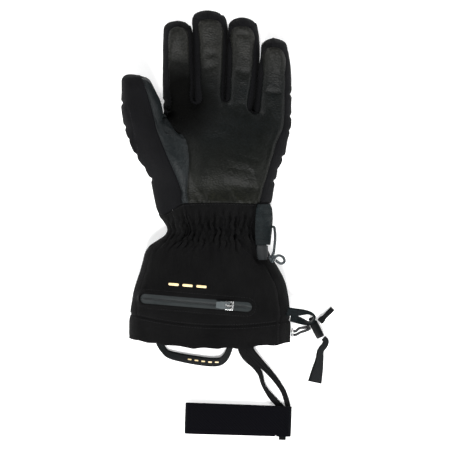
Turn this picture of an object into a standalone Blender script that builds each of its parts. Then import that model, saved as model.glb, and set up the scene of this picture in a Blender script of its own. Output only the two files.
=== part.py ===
"""A heated ski glove with a long cuff, lying on its back with the palm up.

Metres, +Z up. +Y points to the fingertips and +X to the little finger. The origin is on the surface that the glove
lies on, under the middle of the palm. The hand and the cuff are sewn from panels. One surface of quads is worked out
first, ring by ring, and each panel is a padded wall cut from it, with a narrow seam gap to the next panel.
"""

import math

import bmesh
import bpy
import numpy as np
from mathutils import Matrix, Vector
from mathutils.bvhtree import BVHTree

# Fingers: the widths are the lanes at the forks, and the lengths run from the forks to the tips.
INDEX_WIDTH = 0.0297
MIDDLE_WIDTH = 0.0289
RING_WIDTH = 0.0281
LITTLE_WIDTH = 0.0341
INDEX_LENGTH = 0.0790
MIDDLE_LENGTH = 0.0850
RING_LENGTH = 0.0830
LITTLE_LENGTH = 0.0735
FINGER_DEPTH = 0.0290
FINGER_LIFT = 0.0200
FORK_GAP = 0.0014
CROTCH_GAP = 0.0050

# Thumb
THUMB_WIDTH = 0.0399
THUMB_LENGTH = 0.0450
THUMB_DEPTH = 0.0310
THUMB_LIFT = 0.0150
THUMB_MOUND = 0.0090

# Palm
HAND_LENGTH = 0.0980
PALM_DEPTH = 0.0420
PALM_CUP = 0.0035
PALM_TO_WRIST_SEAM = 0.0370
HAND_LEFT = -0.0554
CROTCH_LEFT = -0.0532

# Cuff
CUFF_LENGTH = 0.1360
CUFF_LEFT = -0.0879
CUFF_RIGHT = 0.0655
CUFF_DEPTH = 0.0440
WRIST_LEFT = -0.0527
WRIST_RIGHT = 0.0390
WRIST_DEPTH = 0.0340
GATHER_DEPTH = 0.0022

# Walls: the shell with its padding and lining
HAND_WALL = 0.0036
CUFF_WALL = 0.0030
SEAM_GAP = 0.0005
REST_GAP = 0.0004

# Pocket zip on the cuff
ZIP_LENGTH = 0.1070
ZIP_WIDTH = 0.0105
ZIP_THICKNESS = 0.0010
ZIP_LEFT = -0.0778
ZIP_ABOVE_HEM = 0.0470
ZIP_SLOPE = math.radians(-4.6)
COIL_WIDTH = 0.0034
COIL_HEIGHT = 0.0009
SLIDER_LENGTH = 0.0078
SLIDER_WIDTH = 0.0084
SLIDER_PLATE = 0.0016
SLIDER_SHARE = 0.795
BRIDGE_LENGTH = 0.0042
BRIDGE_WIDTH = 0.0018
BRIDGE_HEIGHT = 0.0029
BRIDGE_WIRE = 0.0009
PULL_LENGTH = 0.0125
PULL_WIDTH = 0.0068
PULL_THICKNESS = 0.0010

# Strap on the little-finger side of the wrist
STRAP_LENGTH = 0.0385
STRAP_WIDTH = 0.0172
STRAP_THICKNESS = 0.0024
STRAP_CENTRE = 0.0402
STRAP_TIP_LENGTH = 0.0136
STRAP_TIP_WIDTH = 0.0112
KEEPER_DIAMETER = 0.0019
KEEPER_LENGTH = 0.0300
KNOT_DIAMETER = 0.0064
KEEPER_LOOP = 0.0120

# Drawcord at the hem
EYELET_DIAMETER = 0.0105
EYELET_WIRE = 0.0016
EYELET_UP_HEM = 0.0087
EYELET_HEIGHT = 0.0200
DRAWCORD_DIAMETER = 0.0022
DRAWCORD_REACH = 0.0190
LOCK_LENGTH = 0.0174
LOCK_WIDTH = 0.0084
LOCK_HEIGHT = 0.0076
LOCK_TURN = math.radians(-62.7)
BUTTON_DIAMETER = 0.0052
BUTTON_SHOWS = 0.0042
BUTTON_SUNK = 0.0035
BUTTON_TRAVEL = 0.0025
CORD_END_LENGTH = 0.0180
CORD_END_WIDTH = 0.0050
CORD_END_THICKNESS = 0.0032
ANCHOR_REACH = 0.0270
ANCHOR_WIDTH = 0.0080
TAIL_LENGTH = 0.0420
TAIL_WIDTH = 0.0130
RIBBON_THICKNESS = 0.0010

# Webbing
PULL_LOOP_SPAN = 0.0700
PULL_LOOP_DROP = 0.0180
PULL_LOOP_WIDTH = 0.0088
PULL_LOOP_LEFT = -0.0605
LEASH_REACH = 0.0456
LEASH_DROP = 0.0557
LEASH_WIDTH = 0.0086
LEASH_LEFT = 0.0185
WEBBING_THICKNESS = 0.0011
BAND_LENGTH = 0.1020
BAND_WIDTH = 0.0290
BAND_HEIGHT = 0.0102
BAND_THICKNESS = 0.0016
BAND_TURN = math.radians(-1.9)
BAND_TAB_LENGTH = 0.0068
BAND_TAB_SHOWS = 0.0036

# Webbing that leaves the cuff lies on the inside of its back wall, at this height.
WEBBING_RISE = CUFF_WALL + REST_GAP + WEBBING_THICKNESS / 2
WRIST_SEAM_Y = -PALM_TO_WRIST_SEAM
KNUCKLE_WIDTH = INDEX_WIDTH + MIDDLE_WIDTH + RING_WIDTH + LITTLE_WIDTH
SIDE_HEIGHT = 0.46

# A finger's rings: station along its length, depth in finger depths, lift in finger lifts, and the slope of the
# curl in degrees.
FINGER_RINGS = (
    # station, depth, lift, slope
    (0.00, 1.00, 0.00, 0.0),
    (0.20, 0.96, 0.04, 4.0),
    (0.40, 0.93, 0.15, 10.0),
    (0.60, 0.90, 0.33, 16.0),
    (0.78, 0.86, 0.56, 21.0),
    (0.92, 0.74, 0.76, 25.0),
    (0.965, 0.52, 0.85, 28.0),
)
# The leather's left and right edges on each digit, as shares of its half width.
LEATHER_EDGES = {"index": (-0.66, 0.70), "middle": (-0.64, 0.70), "ring": (-0.78, 0.56), "little": (-0.78, 0.60),
                 "thumb": (-0.72, 0.72)}
# How far each finger draws in from its lane at those rings, in finger widths.
FINGER_TAPERS = {
    "index": ((0.0, 0.0, 0.0, 0.01, 0.03, 0.08, 0.25), (0.0, 0.0, 0.0, 0.01, 0.02, 0.05, 0.22)),
    "middle": ((0.0, 0.0, 0.0, 0.0, 0.01, 0.02, 0.20), (0.0, 0.0, 0.0, 0.0, 0.02, 0.17, 0.40)),
    "ring": ((0.0, 0.0, 0.0, 0.0, 0.01, 0.03, 0.20), (0.0, 0.0, 0.0, 0.01, 0.11, 0.27, 0.46)),
    "little": ((0.0, 0.0, 0.0, 0.0, 0.01, 0.03, 0.22), (0.0, 0.0, 0.0, 0.02, 0.09, 0.21, 0.42)),
}
# Sideways lean of the five lane lines, the index finger's outer side first.
LANE_LEANS = (-0.012, -0.039, 0.038, 0.115, 0.004)
# Where the lane lines start, above or below the mean fork line, in finger depths.
LANE_ROOTS = (-0.25, 0.03, 0.10, -0.33, -0.56)
FORK_LINE = HAND_LENGTH - PALM_TO_WRIST_SEAM

# The thumb's rings above its crotch: station, left and right drawn in (in thumb widths), depth, lift and slope.
THUMB_RINGS = (
    # station, left, right, depth, lift, slope
    (0.00, 0.00, 0.02, 1.00, 0.00, 4.0),
    (0.30, -0.040, 0.085, 0.97, 0.25, 10.0),
    (0.56, -0.030, 0.215, 0.92, 0.52, 16.0),
    (0.78, -0.025, 0.350, 0.84, 0.77, 22.0),
    (0.93, 0.020, 0.475, 0.58, 0.95, 27.0),
)

# Rings of the hand between the forks and the wrist seam. left and right are the heights above the seam at the
# thumb side and the little finger's side, in hand lengths; reach is the thumb side's outline beyond the crotch in
# thumb widths; out is the other outline in knuckle widths; the seams are shares of the ring's width.
PALM_RINGS = (
    # left, right, reach, out, depth, mound, thumb_seam, gusset_seam, side_seam
    (0.645, 0.590, 0.900, 0.511, 0.930, 0.90, 0.197, 0.361, 0.934),
    (0.505, 0.480, 0.750, 0.494, 0.980, 1.00, 0.196, 0.373, 0.924),
    (0.378, 0.367, 0.545, 0.449, 1.000, 0.85, 0.194, 0.346, 0.930),
    (0.245, 0.251, 0.350, 0.418, 0.980, 0.55, 0.192, 0.300, 0.930),
    (0.110, 0.126, 0.300, 0.401, 0.920, 0.25, 0.214, 0.284, 0.908),
)
# The rings between the forks and the thumb's crotch: left and right as above, in and out in knuckle widths.
KNUCKLE_RINGS = (
    # left, right, in, out, depth
    (0.870, 0.765, -0.452, 0.540, 0.80),
    (0.796, 0.694, -0.440, 0.527, 0.86),
)
# Rings of the cuff. down_left and down_right are the distances below the wrist seam in cuff lengths, sag how much
# lower the middle is; the flares run from 0 at the wrist's waist to 1 at the hem; gather is the depth of the folds.
CUFF_RINGS = (
    # down_left, down_right, sag, flare_left, flare_right, flare_depth, gather
    (0.060, 0.000, -0.020, 0.24, 0.32, 0.50, 0.15),
    (0.095, 0.080, 0.000, 0.19, 0.18, 0.25, 0.70),
    (0.175, 0.175, 0.000, 0.00, 0.00, 0.00, 1.00),
    (0.236, 0.240, 0.000, 0.14, 0.05, 0.05, 0.95),
    (0.290, 0.295, 0.000, 0.44, 0.14, 0.25, 0.50),
    (0.360, 0.365, 0.000, 0.60, 0.28, 0.50, 0.20),
    (0.480, 0.480, 0.010, 0.73, 0.65, 0.80, 0.00),
    (0.615, 0.610, 0.025, 0.92, 0.89, 0.95, 0.00),
    (0.769, 0.815, 0.060, 0.99, 1.00, 1.00, 0.00),
)
HEM_RINGS = (
    # down_left, down_right, sag, flare_left, flare_right, flare_depth
    (0.855, 0.890, 0.060, 1.01, 1.01, 1.02),
    (0.937, 0.965, 0.050, 1.00, 1.00, 0.98),
)
SEAM_PAST_WRIST = (0.228, 0.268, 0.880)
HEM_SEAMS = (0.170, 0.300, 0.935)
THUMB_CORNER = 0.045


def mix(a, b, share):
    return a + (b - a) * share


def smooth(share):
    share = min(1.0, max(0.0, share))
    return share * share * (3 - 2 * share)


def crown(u, power):
    return (1 - min(1.0, abs(u)) ** power) ** (1 / power)


def ring_of(left, front, right, back):
    """A ring's points in order: the left side, the front from left to right, the right side, the back."""
    return {"left": left, "front": front, "right": right, "back": back}


def loop_of(ring):
    return [ring["left"], *ring["front"], ring["right"], *reversed(ring["back"])]


def digit_ring(name, left, right, low, depth, slope):
    """A finger's or the thumb's ring between two side points in the plan, with its back at height low."""
    columns = [mix(*LEATHER_EDGES[name], i / 4) for i in range(5)]
    tilt = math.radians(slope)
    half = depth / 2
    middle = low + half

    def point(u, v):
        share = (u + 1) / 2
        x = mix(left[0], right[0], share)
        y = mix(left[1], right[1], share)
        return Vector((x, y - v * half * math.sin(tilt), middle + v * half * math.cos(tilt)))

    front = [point(u, crown(u, 2.6)) for u in columns]
    back = [point(u, -crown(u, 2.6)) for u in columns]
    return ring_of(point(-1, 0), front, point(1, 0), back)


def lane(index, y):
    """The x of a lane line between fingers at the height y above the palm's middle."""
    widths = (INDEX_WIDTH, MIDDLE_WIDTH, RING_WIDTH, LITTLE_WIDTH)
    return HAND_LEFT + sum(widths[:index]) + LANE_LEANS[index] * (y - FORK_LINE)


def finger_rings(name, index, width, length):
    """The rings of a finger, root first, inside its lane."""
    left_root = FORK_LINE + LANE_ROOTS[index] * FINGER_DEPTH
    right_root = FORK_LINE + LANE_ROOTS[index + 1] * FINGER_DEPTH
    tip = (left_root + right_root) / 2 + length
    tapers = zip(FINGER_RINGS, *FINGER_TAPERS[name])
    rings = []
    for (station, depth, lift, slope), left_in, right_in in tapers:
        left_y = mix(left_root, tip, station)
        right_y = mix(right_root, tip, station)
        left_x = lane(index, left_y) + FORK_GAP / 2 * (index > 0) + left_in * width
        right_x = lane(index + 1, right_y) - FORK_GAP / 2 * (index < 3) - right_in * width
        low = lift * FINGER_LIFT + (1 - depth) * FINGER_DEPTH / 2
        rings.append(digit_ring(name, (left_x, left_y), (right_x, right_y), low, depth * FINGER_DEPTH, slope))
    return rings


def thumb_rings():
    """The rings of the thumb above its crotch, base first."""
    base_y = WRIST_SEAM_Y + KNUCKLE_RINGS[1][0] * HAND_LENGTH
    rings = []
    for station, left_in, right_in, depth, lift, slope in THUMB_RINGS:
        y = base_y + station * THUMB_LENGTH
        left = (CROTCH_LEFT - (1 - left_in) * THUMB_WIDTH, y)
        right = (CROTCH_LEFT - right_in * THUMB_WIDTH, y)
        low = THUMB_MOUND + lift * THUMB_LIFT + (1 - depth) * THUMB_DEPTH / 2
        rings.append(digit_ring("thumb", left, right, low, depth * THUMB_DEPTH, slope))
    return rings


def front_shares(thumb_seam, gusset_seam, side_seam):
    """Where the 25 front columns cross a full ring, as shares of its width: 5 of the thumb and 20 of the hand."""
    thumb = [mix(THUMB_CORNER, thumb_seam, i / 3) for i in range(4)]
    gusset = [mix(thumb_seam, gusset_seam, i / 3) for i in (1, 2, 3)]
    hand = [mix(gusset_seam, side_seam, i / 18) for i in range(1, 19)]
    return thumb + gusset + hand


def wide_ring(place, low, depth, shares, mound=0.0, lift=0.0, cup=0.0, gather=0.0):
    """A ring of the palm or cuff. place(share) gives a point in the plan; the back lies flat in its middle."""
    flat = 0.60

    def front(share, fold):
        u = 2 * share - 1
        height = SIDE_HEIGHT + (1 - SIDE_HEIGHT) * crown(u, 2.5)
        swell = mound * smooth(1 - abs(share - 0.20) / 0.26)
        dip = cup * smooth(1 - abs(share - 0.62) / 0.34)
        x, y = place(share)
        return Vector((x, y, low + depth * height + swell - dip + fold * gather))

    def back(share, fold):
        u = 2 * share - 1
        rise = max(0.0, (abs(u) - flat) / (1 - flat)) ** 2
        raised = lift * smooth((0.30 - share) / 0.30)
        x, y = place(share)
        return Vector((x, y, low + depth * SIDE_HEIGHT * rise + raised + max(0.0, fold) * gather / 2))

    def side(share):
        x, y = place(share)
        return Vector((x, y, low + depth * SIDE_HEIGHT + (lift if share == 0 else 0.0)))

    folds = [0.0 if i in (0, len(shares) - 1) else (-1.0) ** i for i in range(len(shares))]
    fronts = [front(share, fold) for share, fold in zip(shares, folds)]
    backs = [back(mix(share, i / (len(shares) - 1) * 0.9 + 0.05, 0.8), fold)
             for i, (share, fold) in enumerate(zip(shares, folds))]
    return ring_of(side(0), fronts, side(1), backs)


def knuckle_ring(row):
    """A ring of the hand between the forks and the thumb's crotch, with 20 columns."""
    left_up, right_up, inner, outer, depth = row
    left_y = WRIST_SEAM_Y + left_up * HAND_LENGTH
    right_y = WRIST_SEAM_Y + right_up * HAND_LENGTH
    centre = HAND_LEFT + 0.4586 * KNUCKLE_WIDTH

    def place(share):
        x = centre + mix(inner, outer, share) * KNUCKLE_WIDTH
        return x, mix(left_y, right_y, share)

    shares = [mix(0.045, 0.945, i / 19) for i in range(20)]
    ring = wide_ring(place, 0.0, depth * PALM_DEPTH, shares, cup=PALM_CUP)
    for points in (ring["front"], ring["back"]):
        for share, point in zip(shares, points):
            point.x = place(share)[0]
            point.y = place(share)[1]
    return ring


def palm_ring(row):
    """A ring of the hand between the thumb's crotch and the wrist seam, with 25 columns."""
    left_up, right_up, reach, outer, depth, mound, *seams = row
    left_y = WRIST_SEAM_Y + left_up * HAND_LENGTH
    right_y = WRIST_SEAM_Y + right_up * HAND_LENGTH
    left_x = CROTCH_LEFT - reach * THUMB_WIDTH
    right_x = HAND_LEFT + (0.4586 + outer) * KNUCKLE_WIDTH

    def place(share):
        return mix(left_x, right_x, share), mix(left_y, right_y, share)

    return wide_ring(place, 0.0, depth * PALM_DEPTH, front_shares(*seams),
                     mound=mound * THUMB_MOUND, lift=mound * THUMB_MOUND, cup=PALM_CUP)


def cuff_ring(row):
    """A ring of the cuff or of its hem, with 25 columns."""
    down_left, down_right, sag, flare_left, flare_right, flare_depth, *gather = row
    left_x = mix(WRIST_LEFT, CUFF_LEFT, flare_left)
    right_x = mix(WRIST_RIGHT, CUFF_RIGHT, flare_right)
    depth = mix(WRIST_DEPTH, CUFF_DEPTH, flare_depth)

    def place(share):
        u = 2 * share - 1
        down = mix(down_left, down_right, share) + sag * (1 - u * u)
        return mix(left_x, right_x, share), WRIST_SEAM_Y - down * CUFF_LENGTH

    seams = [mix(a, b, smooth(flare_left)) for a, b in zip(SEAM_PAST_WRIST, HEM_SEAMS)]
    fold = (gather[0] if gather else 0.0) * GATHER_DEPTH
    return wide_ring(place, 0.0, depth, front_shares(*seams), gather=fold)


def hand_and_thumb(thumb, hand):
    """The thumb's base ring and the hand's ring beside it, as one ring across both."""
    return ring_of(thumb["left"], thumb["front"] + hand["front"], hand["right"], thumb["back"] + hand["back"])


def crotch_ring():
    """The hand's ring at the thumb's crotch, with its thumb side drawn in to leave room for the thumb."""
    ring = knuckle_ring(KNUCKLE_RINGS[1])
    ring["left"] += Vector((CROTCH_GAP, 0, 0))
    return ring


class Surface:
    """The outside of the glove as quads, each with the name of the panel that it belongs to."""

    def __init__(self):
        self.bm = bmesh.new()
        self.panel = self.bm.faces.layers.string.new("panel")
        self.known = {}

    def vert(self, point):
        key = id(point)
        if key not in self.known:
            self.known[key] = (self.bm.verts.new(point), point)
        return self.known[key][0]

    def quad(self, points, panel):
        face = self.bm.faces.new([self.vert(p) for p in points])
        face[self.panel] = panel.encode()

    def strip(self, low, high, panel_at):
        """Quads between two rings with as many points; panel_at(column) names each one's panel."""
        a, b = loop_of(low), loop_of(high)
        for i in range(len(a)):
            j = (i + 1) % len(a)
            self.quad([a[i], a[j], b[j], b[i]], panel_at(i))

    def cap(self, ring, panel, bulge):
        """Closes a digit's last ring with a rounded end."""
        along = (ring["front"][2] - ring["back"][2]).cross(Vector((1, 0, 0))).normalized()
        middle = [ring["left"]]
        for i in (1, 2, 3):
            centre = (ring["front"][i] + ring["back"][i]) / 2
            middle.append(centre + along * bulge * (1.0 if i == 2 else 0.75))
        middle.append(ring["right"])
        for i in range(4):
            self.quad([ring["front"][i], ring["front"][i + 1], middle[i + 1], middle[i]], panel)
            self.quad([middle[i], middle[i + 1], ring["back"][i + 1], ring["back"][i]], panel)

    def fork(self, left, right, panel):
        """The floor of the gap between two digits."""
        self.quad([left["front"][-1], right["front"][0], right["left"], left["right"]], panel)
        self.quad([left["right"], right["left"], right["back"][0], left["back"][-1]], panel)


FINGERS = (
    ("index", INDEX_WIDTH, INDEX_LENGTH),
    ("middle", MIDDLE_WIDTH, MIDDLE_LENGTH),
    ("ring", RING_WIDTH, RING_LENGTH),
    ("little", LITTLE_WIDTH, LITTLE_LENGTH),
)


def finger_panel(index, ring):
    """Names the panel of each column round a finger: leather in front, a gusset between fingers, the back."""

    def panel_at(column):
        if ring == len(FINGER_RINGS) - 2:
            return "back_shell"
        if 1 <= column <= 4:
            return "palm_leather"
        if column in (5, 6):
            return f"finger_gusset_{index + 1}" if index < 3 else "back_shell"
        if column in (0, 11):
            return f"finger_gusset_{index}" if index > 0 else "back_shell"
        return "back_shell"

    return panel_at


def thumb_panel(column):
    return "thumb_leather" if column in (4, 5, 6, 7) else "thumb_shell"


def knuckle_panel(column):
    return "palm_leather" if 1 <= column <= 19 else "back_shell"


def palm_panel(ring):
    """Names the panel of each of the 52 columns round the hand below the thumb's crotch."""

    def panel_at(column):
        if column == 0 or 1 <= column <= 3:
            return "thumb_shell"
        if column in (4, 5) or (column == 6 and ring > 0):
            return "thumb_leather"
        if 6 <= column <= 24:
            return "palm_leather"
        if column == 51:
            return "thumb_shell"
        return "back_shell"

    return panel_at


def cuff_panel(column):
    return "cuff_front" if 1 <= column <= 24 else "cuff_back"


def glove_surface():
    """The whole outside of the glove, from the fingertips to the hem."""
    surface = Surface()
    fingers = [finger_rings(name, i, width, length) for i, (name, width, length) in enumerate(FINGERS)]
    for i, rings in enumerate(fingers):
        for k in range(len(rings) - 1):
            surface.strip(rings[k], rings[k + 1], finger_panel(i, k))
        surface.cap(rings[-1], "back_shell", FINGER_DEPTH * 0.17)
    for i in range(3):
        surface.fork(fingers[i][0], fingers[i + 1][0], f"finger_gusset_{i + 1}")
    roots = ring_of(
        fingers[0][0]["left"],
        [p for rings in fingers for p in rings[0]["front"]],
        fingers[3][0]["right"],
        [p for rings in fingers for p in rings[0]["back"]],
    )
    knuckles = knuckle_ring(KNUCKLE_RINGS[0])
    hand = crotch_ring()
    surface.strip(knuckles, roots, knuckle_panel)
    surface.strip(hand, knuckles, knuckle_panel)

    thumb = thumb_rings()
    for k in range(len(thumb) - 1):
        surface.strip(thumb[k], thumb[k + 1], thumb_panel)
    surface.cap(thumb[-1], "thumb_shell", THUMB_DEPTH * 0.16)
    surface.fork(thumb[0], hand, "thumb_leather")

    rings = [hand_and_thumb(thumb[0], hand)] + [palm_ring(row) for row in PALM_RINGS]
    rings.append(cuff_ring(CUFF_RINGS[0]))
    for k in range(len(rings) - 1):
        surface.strip(rings[k + 1], rings[k], palm_panel(k))
    cuff = [rings[-1]] + [cuff_ring(row) for row in CUFF_RINGS[1:]]
    for k in range(len(cuff) - 1):
        surface.strip(cuff[k + 1], cuff[k], cuff_panel)
    hem = [cuff[-1]] + [cuff_ring(row) for row in HEM_RINGS]
    for k in range(len(hem) - 1):
        surface.strip(hem[k + 1], hem[k], lambda column: "hem_band")
    surface.bm.normal_update()
    return surface


def paint(obj, colour, roughness, metallic=0.0):
    """Gives an object a plain material of its own."""
    material = bpy.data.materials.new(obj.name)
    material.use_nodes = True
    shader = material.node_tree.nodes["Principled BSDF"]
    shader.inputs["Base Color"].default_value = (*colour, 1.0)
    shader.inputs["Roughness"].default_value = roughness
    shader.inputs["Metallic"].default_value = metallic
    obj.data.materials.append(material)
    return obj


def object_of(name, bm):
    """Turns a bmesh into a named object, shaded smooth but for its sharp edges."""
    mesh = bpy.data.meshes.new(name)
    bm.to_mesh(mesh)
    bm.free()
    mesh.shade_smooth()
    mesh.set_sharp_from_angle(angle=math.radians(40))
    obj = bpy.data.objects.new(name, mesh)
    bpy.context.scene.collection.objects.link(obj)
    return obj


def solid_from(name, points, faces):
    bm = bmesh.new()
    verts = [bm.verts.new(p) for p in points]
    for face in faces:
        bm.faces.new([verts[i] for i in face])
    bmesh.ops.recalc_face_normals(bm, faces=bm.faces)
    return object_of(name, bm)


def seam_shift(vert, edges, faces):
    """How far a point on a panel's edge moves into the panel to open half of the seam gap on each edge there."""
    normal = smooth_normal(vert)
    across = []
    for edge in edges:
        face = next(f for f in edge.link_faces if f in faces)
        side = (edge.verts[1].co - edge.verts[0].co).cross(normal).normalized()
        inward = side.dot(face.calc_center_median() - vert.co)
        across.append(side if inward > 0 else -side)
    shift = Vector(np.linalg.pinv(np.array(across), rcond=0.3) @ np.full(len(across), SEAM_GAP / 2))
    return shift if shift.length < SEAM_GAP else shift.normalized() * SEAM_GAP


def smooth_normal(vert):
    """A point's normal, evened out with those of its neighbours."""
    around = sum((e.other_vert(vert).normal for e in vert.link_edges), Vector())
    return (vert.normal * 1.5 + around / len(vert.link_edges)).normalized()


def panel_solid(surface, name, wall):
    """A panel as a padded wall: its outside, its inside a wall's thickness in, and its cut edges."""
    faces = {f for f in surface.bm.faces if f[surface.panel] == name.encode()}
    verts = sorted({v for f in faces for v in f.verts}, key=lambda v: v.index)
    number = {v: i for i, v in enumerate(verts)}
    rim = {}
    for face in faces:
        for edge in face.edges:
            if sum(f in faces for f in edge.link_faces) == 1:
                for vert in edge.verts:
                    rim.setdefault(vert, set()).add(edge)
    outer = [v.co + (seam_shift(v, rim[v], faces) if v in rim else Vector()) for v in verts]
    inner = [p - smooth_normal(v) * wall for p, v in zip(outer, verts)]
    count = len(verts)
    quads = []
    for face in sorted(faces, key=lambda f: f.index):
        around = [number[v] for v in face.verts]
        quads.append(around)
        quads.append([i + count for i in reversed(around)])
        for loop in face.loops:
            if sum(f in faces for f in loop.edge.link_faces) == 1:
                a, b = number[loop.vert], number[loop.link_loop_next.vert]
                if loop.vert.index < loop.link_loop_next.vert.index:
                    quads += [[b, a, b + count], [a, a + count, b + count]]
                else:
                    quads += [[b, a, a + count], [b, a + count, b + count]]
    return solid_from(name, outer + inner, quads)


def curve_through(points, steps):
    """A smooth line through points, with that many steps between each two."""
    points = [Vector(p) for p in points]
    ends = [2 * points[0] - points[1], *points, 2 * points[-1] - points[-2]]
    line = []
    for i in range(1, len(ends) - 2):
        a, b, c, d = ends[i - 1 : i + 3]
        for k in range(steps):
            t = k / steps
            line.append(0.5 * (2 * b + (c - a) * t + (2 * a - 5 * b + 4 * c - d) * t**2
                               + (3 * b - a - 3 * c + d) * t**3))
    line.append(points[-1])
    return line


def ribbon(name, path, rolls, width, thickness, steps=3, widths=None):
    """A flat strap along a smooth path. A roll of 0 lays its face up, and 90 stands it on its edge."""
    line = curve_through(path, steps)
    share = [i / (len(line) - 1) * (len(rolls) - 1) for i in range(len(line))]
    points = []
    for i, p in enumerate(line):
        ahead = line[min(i + 1, len(line) - 1)] - line[max(i - 1, 0)]
        ahead.normalize()
        side = ahead.cross(Vector((0, 0, 1))).normalized()
        k = min(int(share[i]), len(rolls) - 2)
        roll = mix(rolls[k], rolls[k + 1], smooth(share[i] - k))
        side = Matrix.Rotation(math.radians(roll), 3, ahead) @ side
        up = side.cross(ahead)
        full = width if widths is None else width * mix(widths[k], widths[k + 1], share[i] - k)
        half = side * full / 2
        thick = up * thickness / 2
        points += [p - half - thick, p + half - thick, p + half + thick, p - half + thick]
    faces = [[3, 2, 1, 0]]
    for i in range(len(line) - 1):
        a, b = 4 * i, 4 * i + 4
        for k in range(4):
            m = (k + 1) % 4
            faces.append([a + k, a + m, b + m, b + k])
    last = 4 * (len(line) - 1)
    faces.append([last, last + 1, last + 2, last + 3])
    return solid_from(name, points, faces)


def cord(name, points, diameter, steps=4):
    """A round cord as a tube along a smooth line through its points."""
    line = curve_through(points, steps)
    curve = bpy.data.curves.new(name, "CURVE")
    curve.dimensions = "3D"
    curve.bevel_depth = diameter / 2
    curve.bevel_resolution = 2
    curve.use_fill_caps = True
    spline = curve.splines.new("POLY")
    spline.points.add(len(line) - 1)
    for target, p in zip(spline.points, line):
        target.co = (*p, 1.0)
    obj = bpy.data.objects.new(name, curve)
    bpy.context.scene.collection.objects.link(obj)
    return obj


def block(name, size, matrix, edge):
    """A box with rounded edges, placed by a matrix."""
    bm = bmesh.new()
    bmesh.ops.create_cube(bm, size=1.0)
    bmesh.ops.scale(bm, vec=size, verts=bm.verts)
    bmesh.ops.bevel(bm, geom=bm.edges[:], offset=edge, segments=2, affect="EDGES", profile=0.5)
    bmesh.ops.transform(bm, matrix=matrix, verts=bm.verts)
    return object_of(name, bm)


def rod(name, diameter, length, matrix, edge, sides=20):
    """A round rod along the matrix's X, from its origin, with rounded rims."""
    stations = [(0, 1 - edge / diameter * 2), (edge, 1), (length - edge, 1), (length, 1 - edge / diameter * 2)]
    bm = bmesh.new()
    rings = []
    for along, share in stations:
        ring = []
        for i in range(sides):
            turn = 2 * math.pi * i / sides
            around = Vector((0, math.cos(turn), math.sin(turn))) * diameter / 2 * share
            ring.append(bm.verts.new(matrix @ (Vector((along, 0, 0)) + around)))
        rings.append(ring)
    for a, b in zip(rings, rings[1:]):
        for i in range(sides):
            j = (i + 1) % sides
            bm.faces.new([a[i], b[i], b[j], a[j]])
    bm.faces.new(rings[0])
    bm.faces.new(list(reversed(rings[-1])))
    bmesh.ops.recalc_face_normals(bm, faces=bm.faces)
    return object_of(name, bm)


def ring_solid(name, diameter, wire, matrix, sides=28, wire_sides=8):
    """A round ring about the matrix's X."""
    points = []
    for i in range(sides):
        turn = 2 * math.pi * i / sides
        out = Vector((0, math.cos(turn), math.sin(turn)))
        for k in range(wire_sides):
            roll = 2 * math.pi * k / wire_sides
            at = out * ((diameter - wire) / 2 + wire / 2 * math.cos(roll))
            points.append(matrix @ (at + Vector((wire / 2 * math.sin(roll), 0, 0))))
    faces = []
    for i in range(sides):
        j = (i + 1) % sides
        for k in range(wire_sides):
            m = (k + 1) % wire_sides
            faces.append([i * wire_sides + k, j * wire_sides + k, j * wire_sides + m, i * wire_sides + m])
    return solid_from(name, points, faces)


def with_tool(obj, tool, operation):
    """Joins a tool to an object or cuts it away, and hides the tool."""
    tool.name = f"{obj.name}_tool"
    tool.hide_render = True
    tool.display_type = "WIRE"
    change = obj.modifiers.new(operation.lower(), "BOOLEAN")
    change.operation = operation
    change.object = tool
    change.solver = "EXACT"
    return obj


def frame_at(point, along, up):
    """A matrix with its X along a direction and its Z near another."""
    x = Vector(along).normalized()
    y = Vector(up).cross(x).normalized()
    z = x.cross(y)
    return Matrix.Translation(point) @ Matrix((x, y, z)).transposed().to_4x4()


def route(start, across, down, rise, rows):
    """Path points, rolls and widths from rows of shares: x across, y down, z rise, roll in degrees, width."""
    points = [Vector((start[0] + x * across, start[1] - y * down, z * rise)) for x, y, z, roll, width in rows]
    return points, [row[3] for row in rows], [row[4] for row in rows]


class Ground:
    """Finds the height of the glove's outside at a point of the plan."""

    def __init__(self, surface):
        self.tree = BVHTree.FromBMesh(surface.bm)

    def top(self, x, y):
        hit = self.tree.ray_cast(Vector((x, y, 1.0)), Vector((0, 0, -1)))[0]
        return hit.z if hit else 0.0

    def flat(self, x, y, reach):
        """The highest point of the outside within reach of a point of the plan."""
        around = [(x + i * reach / 2, y + j * reach / 2) for i in range(-2, 3) for j in range(-2, 3)]
        return max(self.top(*p) for p in around)


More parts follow.
